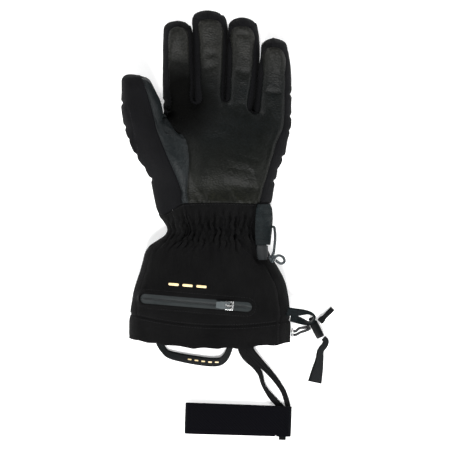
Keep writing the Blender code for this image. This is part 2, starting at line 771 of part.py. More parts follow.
def draped(name, ground, rows, thickness, lift, reach=0.0010, steepest=1.1, columns=7):
    """A strip laid on the glove. Each row is a left and a right point of the plan; the strip stays above the
    glove's outside by lift and never falls more steeply than that."""
    sheets = []
    for left, right in rows:
        across = [Vector(left).lerp(Vector(right), k / (columns - 1)) for k in range(columns)]
        heights = [ground.flat(p.x, p.y, reach) + lift for p in across]
        step = (across[1] - across[0]).length * steepest
        for k in range(1, columns):
            heights[k] = max(heights[k], heights[k - 1] - step)
        for k in reversed(range(columns - 1)):
            heights[k] = max(heights[k], heights[k + 1] - step)
        sheets.append([Vector((*p, z)) for p, z in zip(across, heights)])
    low = [p for row in sheets for p in row]
    high = [p + Vector((0, 0, thickness)) for p in low]
    half = len(low)
    count = len(rows) - 1
    faces = []
    for i in range(count):
        for k in range(columns - 1):
            a = i * columns + k
            around = [a, a + 1, a + columns + 1, a + columns]
            faces.append(around)
            faces.append([half + p for p in reversed(around)])
    rim = [(i * columns, (i + 1) * columns) for i in range(count)]
    rim += [((i + 1) * columns - 1, (i + 2) * columns - 1) for i in range(count)]
    rim += [(k, k + 1) for k in range(columns - 1)]
    rim += [(count * columns + k, count * columns + k + 1) for k in range(columns - 1)]
    faces += [[a, b, b + half, a + half] for a, b in rim]
    return solid_from(name, low + high, faces)


def zip_parts(ground):
    """The pocket's zip: the tape in its window, the coil, the slider with its bridge, and the pull."""
    start = Vector((ZIP_LEFT, WRIST_SEAM_Y - CUFF_LENGTH + ZIP_ABOVE_HEM))
    along = Vector((math.cos(ZIP_SLOPE), math.sin(ZIP_SLOPE)))
    across = Vector((-along.y, along.x))

    def rows(width, count):
        line = [start + along * ZIP_LENGTH * i / count for i in range(count + 1)]
        return [(p - across * width / 2, p + across * width / 2) for p in line]

    paint(draped("zip_tape", ground, rows(ZIP_WIDTH, 18), ZIP_THICKNESS, REST_GAP, columns=5), (0.05, 0.06, 0.06), 0.4)
    coil_lift = REST_GAP * 2 + ZIP_THICKNESS
    paint(draped("zip_coil", ground, rows(COIL_WIDTH, 18), COIL_HEIGHT, coil_lift, columns=3), (0.03, 0.03, 0.03), 0.5)

    centre = start + along * ZIP_LENGTH * SLIDER_SHARE
    ends = [centre - along * PULL_LENGTH, centre + along * SLIDER_LENGTH / 2]
    left_z, right_z = [ground.flat(p.x, p.y, 0.004) for p in ends]
    slope = Vector((*(ends[1] - ends[0]), right_z - left_z)).normalized()
    lift = coil_lift + COIL_HEIGHT + REST_GAP
    base = Vector((*centre, ground.flat(centre.x, centre.y, 0.004) + lift))
    seat = frame_at(base, slope, (0, 0, 1))
    slider = block("zip_slider", (SLIDER_LENGTH, SLIDER_WIDTH, SLIDER_PLATE),
                   seat @ Matrix.Translation((0, 0, SLIDER_PLATE / 2)), 0.0004)
    bridge = bridge_solid(seat @ Matrix.Translation((0, 0, SLIDER_PLATE)))
    paint(with_tool(slider, bridge, "UNION"), (0.75, 0.76, 0.77), 0.25, 1.0)

    axis_height = SLIDER_PLATE + (BRIDGE_HEIGHT - BRIDGE_WIRE) / 2
    hinge = seat @ Matrix.Translation((0, 0, axis_height))
    pull = pull_solid()
    pull.matrix_world = hinge
    paint(pull, (0.12, 0.14, 0.14), 0.5)


def bridge_solid(matrix):
    """The slider's bridge: an arch along the zip, with a window for the pull's bar."""
    half = BRIDGE_LENGTH / 2
    low = -SLIDER_PLATE / 2
    outline = [(-half, low), (half, low), (half, BRIDGE_HEIGHT), (-half, BRIDGE_HEIGHT)]
    window = [(-half + BRIDGE_WIRE, 0.0), (half - BRIDGE_WIRE, 0.0),
              (half - BRIDGE_WIRE, BRIDGE_HEIGHT - BRIDGE_WIRE), (-half + BRIDGE_WIRE, BRIDGE_HEIGHT - BRIDGE_WIRE)]
    points = []
    for side in (-BRIDGE_WIDTH / 2, BRIDGE_WIDTH / 2):
        points += [matrix @ Vector((x, side, z)) for x, z in outline + window]
    faces = []
    for i in range(4):
        j = (i + 1) % 4
        faces.append([i, j, j + 4, i + 4])
        faces.append([i + 8, i + 12, j + 12, j + 8])
        faces.append([i, i + 8, j + 8, j])
        faces.append([i + 4, j + 4, j + 12, i + 12])
    return solid_from("bridge", points, faces)


def pull_solid():
    """The zip's pull, hung from its bar at the origin and lying towards -X, with a slot for the bridge."""
    bar = PULL_THICKNESS * 0.9
    slot = BRIDGE_LENGTH / 2 + BRIDGE_WIRE * 1.8
    rows = [bar / 2, -bar / 2, -slot, -slot - 0.3 * PULL_LENGTH, -PULL_LENGTH]
    leg = BRIDGE_WIDTH / 2 + REST_GAP * 1.2
    tip = PULL_WIDTH * 0.42
    cross = [(-PULL_WIDTH / 2, -leg, leg, PULL_WIDTH / 2)] * 4 + [(-tip, -leg, leg, tip)]
    points = []
    for z in (-PULL_THICKNESS / 2, PULL_THICKNESS / 2):
        points += [Vector((x, y, z)) for x, ys in zip(rows, cross) for y in ys]
    cells = [(i, k) for i in range(4) for k in range(3) if (i, k) != (1, 1)]
    return slab(points, cells, 4)


def slab(points, cells, columns):
    """A flat plate from a grid's filled cells; the first half of the points is its underside."""
    half = len(points) // 2
    faces = []
    edges = {}
    for i, k in cells:
        a = i * columns + k
        around = [a, a + 1, a + columns + 1, a + columns]
        faces.append(around)
        faces.append([half + p for p in reversed(around)])
        for m in range(4):
            edge = (around[m], around[(m + 1) % 4])
            edges[tuple(sorted(edge))] = None if tuple(sorted(edge)) in edges else edge
    faces += [[a, b, b + half, a + half] for a, b in filter(None, edges.values())]
    return solid_from("zip_pull", points, faces)


# The wrist strap's rows: share of its length, and its left and right edges from its centre in strap widths.
STRAP_ROWS = (
    # along, left, right
    (0.00, -0.38, 0.34),
    (0.12, -0.46, 0.44),
    (0.35, -0.50, 0.48),
    (0.65, -0.52, 0.44),
    (1.00, -0.48, 0.34),
)
# The keeper cord's route from the strap's right edge to the knot: down in its lengths, out from the edge in strap
# widths, and the share of the climb to the knot.
KEEPER_ROUTE = (
    # down, out, climb
    (0.10, 0.130, 0.08),
    (0.26, 0.150, 0.22),
    (0.44, 0.140, 0.45),
    (0.62, 0.100, 0.70),
    (0.80, 0.060, 0.92),
)
# The keeper's end loop from the knot's middle: out and up in loop lengths.
LOOP_ROUTE = (
    # out, up
    (0.27, 0.16),
    (0.55, 0.24),
    (0.88, 0.06),
    (0.96, -0.26),
    (0.66, -0.42),
    (0.27, -0.17),
)


def strap_parts(ground):
    """The strap on the side of the wrist, its moulded tip, and the keeper cord with its knot and end loop."""
    top = WRIST_SEAM_Y - 0.0004

    def row(along, left, right):
        y = top - along * STRAP_LENGTH
        return (STRAP_CENTRE + left * STRAP_WIDTH, y), (STRAP_CENTRE + right * STRAP_WIDTH, y)

    rows = []
    for (a, left_a, right_a), (b, left_b, right_b) in zip(STRAP_ROWS, STRAP_ROWS[1:]):
        rows += [row(mix(a, b, t), mix(left_a, left_b, t), mix(right_a, right_b, t)) for t in (0, 0.34, 0.67)]
    rows.append(row(*STRAP_ROWS[-1]))
    strap = draped("wrist_strap", ground, rows, STRAP_THICKNESS, REST_GAP * 1.5)
    paint(strap, (0.03, 0.045, 0.05), 0.5)

    tip_top = top - STRAP_LENGTH - REST_GAP
    tip_centre = STRAP_CENTRE - 0.11 * STRAP_WIDTH
    tips = []
    for share, narrow in ((0, 0.94), (0.12, 1.0), (0.5, 0.98), (0.88, 0.84), (1.0, 0.66)):
        half = STRAP_TIP_WIDTH / 2 * narrow
        y = tip_top - share * STRAP_TIP_LENGTH
        tips.append(((tip_centre - half, y), (tip_centre + half, y)))
    paint(draped("strap_tip", ground, tips, STRAP_THICKNESS, REST_GAP * 1.5), (0.04, 0.045, 0.05), 0.45)

    level = top - 0.55 * STRAP_LENGTH
    edge = max((v.co for v in strap.data.vertices if abs(v.co.y - level) < STRAP_LENGTH / 16), key=lambda p: p.x)
    exit_point = Vector((edge.x + REST_GAP, level, edge.z + STRAP_THICKNESS * 0.5))
    knot = Vector((edge.x - STRAP_WIDTH * 0.02, level - KEEPER_LENGTH, 0.0))
    knot.z = ground.flat(knot.x, knot.y, KNOT_DIAMETER * 0.7) + KNOT_DIAMETER / 2 + REST_GAP
    points = [exit_point, exit_point + Vector((KEEPER_DIAMETER * 0.7, -KEEPER_DIAMETER * 0.3, 0.0))]
    for down, out, climb in KEEPER_ROUTE:
        height = mix(exit_point.z, knot.z, climb)
        points.append(Vector((edge.x + out * STRAP_WIDTH, level - down * KEEPER_LENGTH, height)))
    points.append(knot + Vector((0.0, KNOT_DIAMETER / 2 + REST_GAP, 0.0)))
    for p in points[2:-1]:
        p.z = max(p.z, ground.flat(p.x, p.y, KEEPER_DIAMETER) + KEEPER_DIAMETER)
    paint(cord("keeper_cord", points, KEEPER_DIAMETER, 3), (0.15, 0.18, 0.19), 0.6)
    paint(knot_solid(knot), (0.14, 0.17, 0.18), 0.6)
    loop = [knot + Vector((out * KEEPER_LOOP, up * KEEPER_LOOP, 0.0)) for out, up in LOOP_ROUTE]
    for p in loop:
        droop = max(0.0, p.x - knot.x - KNOT_DIAMETER) * 0.6
        p.z = max(p.z - droop, ground.flat(p.x, p.y, KEEPER_DIAMETER) + KEEPER_DIAMETER)
    paint(cord("keeper_loop", loop, KEEPER_DIAMETER, 3), (0.15, 0.18, 0.19), 0.6)


def knot_solid(centre):
    """A tight knot, as a slightly flattened ball."""
    bm = bmesh.new()
    bmesh.ops.create_uvsphere(bm, u_segments=14, v_segments=10, radius=KNOT_DIAMETER / 2)
    bmesh.ops.scale(bm, vec=(1.0, 1.0, 0.9), verts=bm.verts)
    bmesh.ops.translate(bm, vec=centre, verts=bm.verts)
    return object_of("keeper_knot", bm)


# The anchor ribbon's loop from the hem to the lock and back: x in its reach, y down in its reach, z in lock
# heights, roll and width.
ANCHOR_ROWS = (
    # across, down, rise, roll, width
    (0.00, 0.000, 4.15, 20, 1.0),
    (0.36, 0.045, 3.60, 30, 1.0),
    (0.78, 0.075, 2.85, 65, 0.95),
    (0.985, 0.230, 2.35, 88, 0.9),
    (0.830, 0.440, 2.30, 70, 0.9),
    (0.450, 0.335, 2.55, 35, 0.95),
    (0.140, 0.220, 3.05, 15, 1.0),
)
# The tail ribbon from the lock's lower end: x and y in its length, z in lock heights, roll and width.
TAIL_ROWS = (
    # across, down, rise, roll, width
    (0.040, -0.020, 0.55, 20, 0.42),
    (0.105, 0.060, 0.60, 30, 0.46),
    (0.060, 0.170, 0.45, 10, 0.46),
    (-0.020, 0.280, 0.20, 0, 0.50),
    (-0.045, 0.500, 0.12, 0, 0.62),
    (-0.095, 0.740, 0.12, 0, 0.86),
    (-0.150, 1.000, 0.12, 0, 1.02),
)


def drawcord_parts():
    """The eyelet in the hem, the two cord strands, the lock with its button, the cord end and the ribbons."""
    hem_low = WRIST_SEAM_Y - HEM_RINGS[-1][1] * CUFF_LENGTH
    hole = Vector((CUFF_RIGHT + REST_GAP * 1.5 + EYELET_WIRE / 2, hem_low + EYELET_UP_HEM, EYELET_HEIGHT))
    paint(ring_solid("eyelet", EYELET_DIAMETER, EYELET_WIRE, Matrix.Translation(hole)), (0.7, 0.72, 0.74), 0.3, 1.0)

    axis = Vector((math.cos(LOCK_TURN), math.sin(LOCK_TURN), 0))
    side = Vector((-axis.y, axis.x, 0))
    through = hole + Vector((DRAWCORD_REACH * 1.12, DRAWCORD_REACH * 0.38, 0))
    through.z = LOCK_HEIGHT / 2 + 0.0003
    body_top = through - axis * LOCK_LENGTH * 0.20
    seat = frame_at(body_top + axis * LOCK_LENGTH / 2, axis, (0, 0, 1))
    body = block("lock_body", (LOCK_LENGTH, LOCK_WIDTH, LOCK_HEIGHT), seat, 0.0016)
    bore = rod("bore", BUTTON_DIAMETER + 0.0008, BUTTON_SUNK + BUTTON_TRAVEL + 0.0016,
               frame_at(body_top - axis * 0.0010, axis, (0, 0, 1)), 0.0002)
    paint(with_tool(body, bore, "DIFFERENCE"), (0.02, 0.02, 0.022), 0.4)
    button = rod("lock_button", BUTTON_DIAMETER, BUTTON_SHOWS + BUTTON_SUNK, Matrix.Identity(4), 0.0005)
    button.matrix_world = frame_at(body_top - axis * BUTTON_SHOWS, axis, (0, 0, 1))
    paint(button, (0.025, 0.025, 0.028), 0.4)

    for name, off in (("drawcord_upper", 1), ("drawcord_lower", -1)):
        begin = hole + Vector((-EYELET_WIRE / 2, off * 0.0016, 0))
        end = through + cord_side(side) * (LOCK_WIDTH / 2 + 0.0006) + axis * -off * 0.0014
        bow = Vector((0, off * 0.0006, 0.0015))
        middle = begin.lerp(end, 0.45) + bow
        points = [begin, begin + Vector((0.0040, off * 0.0002, 0.0002)), middle,
                  end + cord_side(side) * 0.0035 + Vector((0, 0, 0.0002)), end]
        paint(cord(name, points, DRAWCORD_DIAMETER, 4), (0.02, 0.02, 0.02), 0.7)

    out = -cord_side(side)
    begin = through + out * (LOCK_WIDTH / 2 + 0.0016)
    towards = Vector((math.cos(math.radians(46)), math.sin(math.radians(46)), 0))
    path = [begin + towards * CORD_END_LENGTH * s for s in (0.0, 0.12, 0.24, 0.36, 0.7, 1.0)]
    widths = (1.10, 1.34, 1.20, 0.86, 1.0, 1.0)
    paint(ribbon("cord_end", path, [0] * 6, CORD_END_WIDTH, CORD_END_THICKNESS, 2, widths), (0.02, 0.025, 0.027), 0.5)

    root = Vector((CUFF_RIGHT - 0.0040, hole.y + 0.0210, 0))
    path, rolls, widths = route(root, ANCHOR_REACH, ANCHOR_REACH, LOCK_HEIGHT, ANCHOR_ROWS)
    paint(ribbon("anchor_ribbon", path, rolls, ANCHOR_WIDTH, RIBBON_THICKNESS, 3, widths), (0.03, 0.04, 0.045), 0.5)
    low = body_top + axis * (LOCK_LENGTH + 0.0012)
    path, rolls, widths = route(low, TAIL_LENGTH, TAIL_LENGTH, LOCK_HEIGHT, TAIL_ROWS)
    paint(ribbon("tail_ribbon", path, rolls, TAIL_WIDTH, RIBBON_THICKNESS, 3, widths), (0.02, 0.025, 0.03), 0.7)


def cord_side(side):
    """The lock's side that faces the glove."""
    return side if side.x < 0 else -side


# The pull-on loop from the inside of the hem and back: x in its span, y in its drop, z in webbing rises, roll,
# width.
PULL_LOOP_ROWS = (
    # across, down, rise, roll, width
    (0.010, -0.35, 1.15, -12, 0.80),
    (0.014, 0.02, 1.15, -12, 0.80),
    (0.075, 0.44, 0.95, -20, 0.72),
    (0.180, 0.70, 0.66, -8, 0.90),
    (0.480, 0.94, 0.55, 0, 1.00),
    (0.780, 1.06, 0.66, 8, 0.98),
    (0.905, 0.82, 0.95, 20, 0.80),
    (0.975, 0.25, 1.15, 12, 0.62),
    (1.010, -0.20, 1.05, 2, 0.60),
)
# The leash's two strands from the inside of the hem to the wrist band: x in its reach, y in its drop.
LEASH_LEFT_ROWS = (
    # across, down, rise, roll, width
    (0.00, -0.12, 1.00, 0, 0.95),
    (0.02, 0.06, 1.00, 0, 0.95),
    (0.13, 0.20, 0.58, 10, 0.95),
    (0.29, 0.33, 0.48, 20, 0.80),
    (0.40, 0.48, 0.60, 40, 0.62),
    (0.45, 0.64, 0.62, 50, 0.56),
    (0.57, 0.80, 0.52, 35, 0.56),
    (0.77, 0.92, 0.36, 15, 0.50),
    (0.885, 0.986, 0.22, 0, 0.42),
)
LEASH_RIGHT_ROWS = (
    # across, down, rise, roll, width
    (0.14, -0.12, 1.37, 0, 0.95),
    (0.18, 0.06, 1.37, 0, 0.95),
    (0.33, 0.22, 1.12, 0, 0.90),
    (0.54, 0.40, 0.98, -10, 0.75),
    (0.72, 0.57, 0.92, -25, 0.66),
    (0.86, 0.74, 0.80, -30, 0.60),
    (0.95, 0.88, 0.55, -15, 0.50),
    (0.99, 0.992, 0.24, 0, 0.44),
)


def webbing_parts():
    """The pull-on loop, the leash's strands, and the elastic wrist band with its tab."""
    black = (0.010, 0.010, 0.011)
    hem_low = WRIST_SEAM_Y - (HEM_RINGS[-1][0] + HEM_RINGS[-1][2]) * CUFF_LENGTH
    start = (PULL_LOOP_LEFT, hem_low + 0.0020)
    path, rolls, widths = route(start, PULL_LOOP_SPAN, PULL_LOOP_DROP, WEBBING_RISE, PULL_LOOP_ROWS)
    paint(ribbon("pull_on_loop", path, rolls, PULL_LOOP_WIDTH, WEBBING_THICKNESS, 4, widths), black, 0.6)
    start = (LEASH_LEFT, hem_low - 0.0020)
    for name, rows in (("leash_left", LEASH_LEFT_ROWS), ("leash_right", LEASH_RIGHT_ROWS)):
        path, rolls, widths = route(start, LEASH_REACH, LEASH_DROP, WEBBING_RISE, rows)
        paint(ribbon(name, path, rolls, LEASH_WIDTH, WEBBING_THICKNESS, 3, widths), black, 0.6)

    right = start[0] + LEASH_REACH * 1.05
    top = start[1] - LEASH_DROP - 0.0015
    along = Vector((math.cos(BAND_TURN), math.sin(BAND_TURN), 0))
    centre = Vector((right, top - BAND_WIDTH / 2, BAND_HEIGHT / 2)) - along * BAND_LENGTH / 2
    paint(band_solid(frame_at(centre, along, (0, 0, 1))), (0.008, 0.008, 0.011), 0.9)
    tab = centre + along * BAND_LENGTH * 0.415
    tab.y -= BAND_WIDTH / 2 + BAND_TAB_SHOWS / 2 + REST_GAP / 2
    tab.z = BAND_THICKNESS / 2
    size = (BAND_TAB_LENGTH, BAND_TAB_SHOWS, BAND_THICKNESS)
    paint(block("band_tab", size, frame_at(tab, along, (0, 0, 1)), BAND_THICKNESS / 4), black, 0.7)


def band_solid(matrix):
    """The wrist band: a flat loop of elastic, open from its upper edge to its lower edge."""
    steps = 8
    round_end = BAND_HEIGHT / 2
    straight = BAND_LENGTH / 2 - round_end
    profile = []
    for end in (1, -1):
        for i in range(steps + 1):
            turn = math.pi * (i / steps - 0.5)
            out = Vector((math.cos(turn) * end, math.sin(turn) * end))
            profile.append((Vector((straight * end, 0)), out))
        for i in (1, 2, 3):
            x = mix(straight, -straight, i / 4) * end
            profile.append((Vector((x, 0)), Vector((0, 1.0 * end))))
    points = []
    for low in (-1, 1):
        for inset in (0.0, BAND_THICKNESS):
            for middle, out in profile:
                sag = 0.04 * BAND_HEIGHT * (1 - (middle.x / straight) ** 2) * (out.y > 0.9)
                radius = round_end - inset
                x, z = middle.x + out.x * radius, middle.y + out.y * radius - sag
                narrow = 1 - 0.03 * x / BAND_LENGTH
                points.append(matrix @ Vector((x, low * BAND_WIDTH / 2 * narrow, z)))
    n = len(profile)
    faces = []
    for i in range(n):
        j = (i + 1) % n
        faces.append([i, j, j + n, i + n])
        faces.append([i + 2 * n, i + 3 * n, j + 3 * n, j + 2 * n])
        faces.append([i, i + 2 * n, j + 2 * n, j])
        faces.append([i + n, j + n, j + 3 * n, i + 3 * n])
    return solid_from("wrist_band", points, faces)


COLOURS = {
    "palm_leather": ((0.020, 0.022, 0.019), 0.55),
    "thumb_leather": ((0.022, 0.033, 0.036), 0.55),
    "thumb_shell": ((0.012, 0.012, 0.013), 0.85),
    "finger_gusset_1": ((0.012, 0.013, 0.016), 0.85),
    "finger_gusset_2": ((0.012, 0.013, 0.016), 0.85),
    "finger_gusset_3": ((0.012, 0.013, 0.016), 0.85),
    "back_shell": ((0.012, 0.013, 0.015), 0.85),
    "cuff_front": ((0.010, 0.010, 0.011), 0.85),
    "cuff_back": ((0.010, 0.010, 0.011), 0.85),
    "hem_band": ((0.009, 0.009, 0.010), 0.85),
}
WALLS = {"cuff_front": CUFF_WALL, "cuff_back": CUFF_WALL, "hem_band": CUFF_WALL}


def build():
    for obj in list(bpy.data.objects):
        bpy.data.objects.remove(obj)
    surface = glove_surface()
    surface.bm.verts.index_update()
    surface.bm.faces.index_update()
    for name, (colour, roughness) in COLOURS.items():
        paint(panel_solid(surface, name, WALLS.get(name, HAND_WALL)), colour, roughness)
    ground = Ground(surface)
    zip_parts(ground)
    strap_parts(ground)
    drawcord_parts()
    webbing_parts()
    surface.bm.free()


build()
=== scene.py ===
"""The looks of a padded left-hand glove that lies palm up.

The hand and cuff are one surface of quads, worked out ring by ring from the same sizes as the solids. It is
subdivided, then its padding, seams, creases and pleats are pressed into it, and it is cut into its panels.
The zip, the straps and the cords are made finer over their solids.
"""

import math

import bmesh
import bpy
import numpy as np
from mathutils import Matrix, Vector, kdtree, noise
from mathutils.bvhtree import BVHTree


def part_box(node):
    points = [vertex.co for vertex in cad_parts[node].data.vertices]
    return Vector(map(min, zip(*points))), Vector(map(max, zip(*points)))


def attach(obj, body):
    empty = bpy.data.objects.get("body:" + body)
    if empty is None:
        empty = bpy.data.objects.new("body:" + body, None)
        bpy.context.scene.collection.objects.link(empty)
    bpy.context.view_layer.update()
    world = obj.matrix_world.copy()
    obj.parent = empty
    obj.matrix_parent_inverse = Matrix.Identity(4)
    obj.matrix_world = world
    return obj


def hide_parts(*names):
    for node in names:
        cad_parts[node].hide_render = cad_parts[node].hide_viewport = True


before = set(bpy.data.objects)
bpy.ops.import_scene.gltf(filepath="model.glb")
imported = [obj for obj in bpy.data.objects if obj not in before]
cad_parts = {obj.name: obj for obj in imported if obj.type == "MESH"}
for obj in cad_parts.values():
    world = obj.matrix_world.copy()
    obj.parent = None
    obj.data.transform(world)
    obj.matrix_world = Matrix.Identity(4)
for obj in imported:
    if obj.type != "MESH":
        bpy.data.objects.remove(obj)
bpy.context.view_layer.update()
MM = 0.001

# Fingers: the widths are the lanes at the forks, and the lengths run from the forks to the tips.
INDEX_WIDTH = 0.0297
MIDDLE_WIDTH = 0.0289
RING_WIDTH = 0.0281
LITTLE_WIDTH = 0.0341
INDEX_LENGTH = 0.0790
MIDDLE_LENGTH = 0.0850
RING_LENGTH = 0.0830
LITTLE_LENGTH = 0.0735
FINGER_DEPTH = 0.0290
FINGER_LIFT = 0.0200
FORK_GAP = 0.0014
CROTCH_GAP = 0.0050

# Thumb
THUMB_WIDTH = 0.0399
THUMB_LENGTH = 0.0450
THUMB_DEPTH = 0.0310
THUMB_LIFT = 0.0150
THUMB_MOUND = 0.0090

# Palm
HAND_LENGTH = 0.0980
PALM_DEPTH = 0.0420
PALM_CUP = 0.0035
PALM_TO_WRIST_SEAM = 0.0370
HAND_LEFT = -0.0554
CROTCH_LEFT = -0.0532

# Cuff
CUFF_LENGTH = 0.1360
CUFF_LEFT = -0.0879
CUFF_RIGHT = 0.0655
CUFF_DEPTH = 0.0440
WRIST_LEFT = -0.0527
WRIST_RIGHT = 0.0390
WRIST_DEPTH = 0.0340
GATHER_DEPTH = 0.0022

# Pocket zip on the cuff
ZIP_LENGTH = 0.1070
ZIP_WIDTH = 0.0105
ZIP_LEFT = -0.0778
ZIP_ABOVE_HEM = 0.0470
ZIP_SLOPE = math.radians(-4.6)

# Walls: the shell with its padding and lining
HAND_WALL = 0.0036
CUFF_WALL = 0.0030
# How much thinner each dressed panel is than its wall.
WALL_SLACK = 0.4 * MM

# The fold of cloth round the zip: how far it laps over the tape, then its section as distances outwards and
# heights above what it lies on, in millimetres, and which of these carries the stitches.
WELT_OVERLAP = 0.0007
WELT_PROFILE = ((0.0, 0.30), (0.05, 0.62), (0.6, 0.85), (1.6, 0.70), (3.0, 0.30), (4.2, 0.20), (6.4, -0.10),
                (6.0, -0.60), (3.2, -0.55), (1.6, -0.30), (0.6, 0.24))
WELT_STITCH_ROW = 5
# One half of the zip tape's section, from the slot outwards: shares of its half width, and heights above the
# solid's top in millimetres; then the height of its underside and the number of steps along it.
TAPE_PROFILE = ((0.08, -0.35), (0.16, 0.02), (0.22, 0.10), (0.5, 0.06), (0.8, 0.04), (0.97, 0.0),
                (1.0, -0.25))
TAPE_UNDERSIDE = -0.85
TAPE_COLUMNS = 110
TAPE_MARGIN = 0.25 * MM
# The zip's teeth.
TOOTH_PITCH = 1.25 * MM
TOOTH_LENGTH = 2.3 * MM
TOOTH_RADIUS = 0.48 * MM
TOOTH_LIFT = 0.16 * MM
TOOTH_STAGGER = 0.25 * MM
COIL_MARGIN = 4 * MM

WRIST_SEAM_Y = -PALM_TO_WRIST_SEAM
KNUCKLE_WIDTH = INDEX_WIDTH + MIDDLE_WIDTH + RING_WIDTH + LITTLE_WIDTH
SIDE_HEIGHT = 0.46

# A finger's rings: station along its length, depth in finger depths, lift in finger lifts, and the slope of
# the curl in degrees.
FINGER_RINGS = (
    # station, depth, lift, slope
    (0.00, 1.00, 0.00, 0.0),
    (0.20, 0.96, 0.04, 4.0),
    (0.40, 0.93, 0.15, 10.0),
    (0.60, 0.90, 0.33, 16.0),
    (0.78, 0.86, 0.56, 21.0),
    (0.92, 0.74, 0.76, 25.0),
    (0.965, 0.52, 0.85, 28.0),
)
# The leather's left and right edges on each digit, as shares of its half width.
LEATHER_EDGES = {
    "index": (-0.66, 0.84),
    "middle": (-0.64, 0.80),
    "ring": (-0.78, 0.64),
    "little": (-0.78, 0.66),
    "thumb": (-0.72, 0.72),
}
# How far each finger's left and right sides draw in from its lane at those rings, in finger widths.
FINGER_TAPERS = {
    "index": ((0.0, 0.0, 0.0, 0.01, 0.03, 0.08, 0.25), (0.0, 0.0, 0.0, 0.01, 0.02, 0.05, 0.22)),
    "middle": ((0.0, 0.0, 0.0, 0.0, 0.01, 0.02, 0.20), (0.0, 0.0, 0.0, 0.0, 0.02, 0.17, 0.40)),
    "ring": ((0.0, 0.0, 0.0, 0.0, 0.01, 0.03, 0.20), (0.0, 0.0, 0.0, 0.01, 0.11, 0.27, 0.46)),
    "little": ((0.0, 0.0, 0.0, 0.0, 0.01, 0.03, 0.22), (0.0, 0.0, 0.0, 0.02, 0.09, 0.21, 0.42)),
}
# Sideways lean of the five lane lines, the index finger's outer side first.
LANE_LEANS = (-0.012, -0.039, 0.038, 0.115, 0.004)
# Where the lane lines start, above or below the mean fork line, in finger depths.
LANE_ROOTS = (-0.25, 0.03, 0.10, -0.33, -0.56)
FORK_LINE = HAND_LENGTH - PALM_TO_WRIST_SEAM

# The thumb's rings above its crotch: station, how far left and right are drawn in, in thumb widths, depth,
# lift and slope.
THUMB_RINGS = (
    # station, left, right, depth, lift, slope
    (0.00, 0.00, 0.02, 1.00, 0.00, 4.0),
    (0.30, -0.040, 0.085, 0.97, 0.25, 10.0),
    (0.56, -0.030, 0.215, 0.92, 0.52, 16.0),
    (0.78, -0.025, 0.350, 0.84, 0.77, 22.0),
    (0.93, 0.020, 0.475, 0.58, 0.95, 27.0),
)

# Rings of the hand between the forks and the wrist seam. left and right are the heights above the seam at the
# thumb's side and the little finger's side, in hand lengths; reach is the thumb side's outline beyond the
# crotch in thumb widths; out is the other outline in knuckle widths; the seams are shares of the ring's
# width.
PALM_RINGS = (
    # left, right, reach, out, depth, mound, thumb_seam, gusset_seam, side_seam
    (0.645, 0.590, 0.900, 0.511, 0.930, 0.90, 0.197, 0.361, 0.934),
    (0.505, 0.480, 0.750, 0.494, 0.980, 1.00, 0.196, 0.373, 0.924),
    (0.378, 0.367, 0.545, 0.449, 1.000, 0.85, 0.194, 0.346, 0.930),
    (0.245, 0.251, 0.350, 0.418, 0.980, 0.55, 0.192, 0.300, 0.930),
    (0.110, 0.126, 0.300, 0.401, 0.920, 0.25, 0.214, 0.284, 0.908),
)
# The rings between the forks and the thumb's crotch: left and right as above, in and out in knuckle widths
# from the middle of the knuckles.
KNUCKLE_RINGS = (
    # left, right, in, out, depth
    (0.870, 0.765, -0.452, 0.540, 0.80),
    (0.796, 0.694, -0.440, 0.527, 0.86),
)
# Rings of the cuff. down_left and down_right are the distances below the wrist seam in cuff lengths, sag how
# much lower the middle is; the flares run from 0 at the wrist's waist to 1 at the hem; gather is the depth of
# the folds.
CUFF_RINGS = (
    # down_left, down_right, sag, flare_left, flare_right, flare_depth, gather
    (0.060, 0.000, -0.020, 0.24, 0.32, 0.50, 0.15),
    (0.095, 0.080, 0.000, 0.19, 0.18, 0.25, 0.70),
    (0.175, 0.175, 0.000, 0.00, 0.00, 0.00, 1.00),
    (0.236, 0.240, 0.000, 0.14, 0.05, 0.05, 0.95),
    (0.290, 0.295, 0.000, 0.44, 0.14, 0.25, 0.50),
    (0.360, 0.365, 0.000, 0.60, 0.28, 0.50, 0.20),
    (0.480, 0.480, 0.010, 0.73, 0.65, 0.80, 0.00),
    (0.615, 0.610, 0.025, 0.92, 0.89, 0.95, 0.00),
    (0.769, 0.815, 0.060, 0.99, 1.00, 1.00, 0.00),
)
HEM_RINGS = (
    # down_left, down_right, sag, flare_left, flare_right, flare_depth
    (0.855, 0.890, 0.060, 1.01, 1.01, 1.02),
    (0.937, 0.965, 0.050, 1.00, 1.00, 0.98),
)
SEAM_PAST_WRIST = (0.228, 0.268, 0.880)
HEM_SEAMS = (0.170, 0.300, 0.935)
THUMB_CORNER = 0.045
# The middle of the knuckles, as a share of their width.
KNUCKLE_MIDDLE = 0.4586
# How square a digit's section is, and a palm's or cuff's.
DIGIT_POWER = 2.6
HAND_POWER = 2.5
# How far the last ring's rounded end bulges, as a share of the digit's depth.
FINGER_BULGE = 0.17
THUMB_BULGE = 0.16


def mix(a, b, share):
    return a + (b - a) * share


def smooth(share):
    share = min(1.0, max(0.0, share))
    return share * share * (3 - 2 * share)


def crown(u, power):
    return (1 - min(1.0, abs(u)) ** power) ** (1 / power)


def ring_of(left, front, right, back):
    """A ring's points in order: the left side, the front from left to right, the right side, the back."""
    return {"left": left, "front": front, "right": right, "back": back}


def loop_of(ring):
    return [ring["left"], *ring["front"], ring["right"], *reversed(ring["back"])]


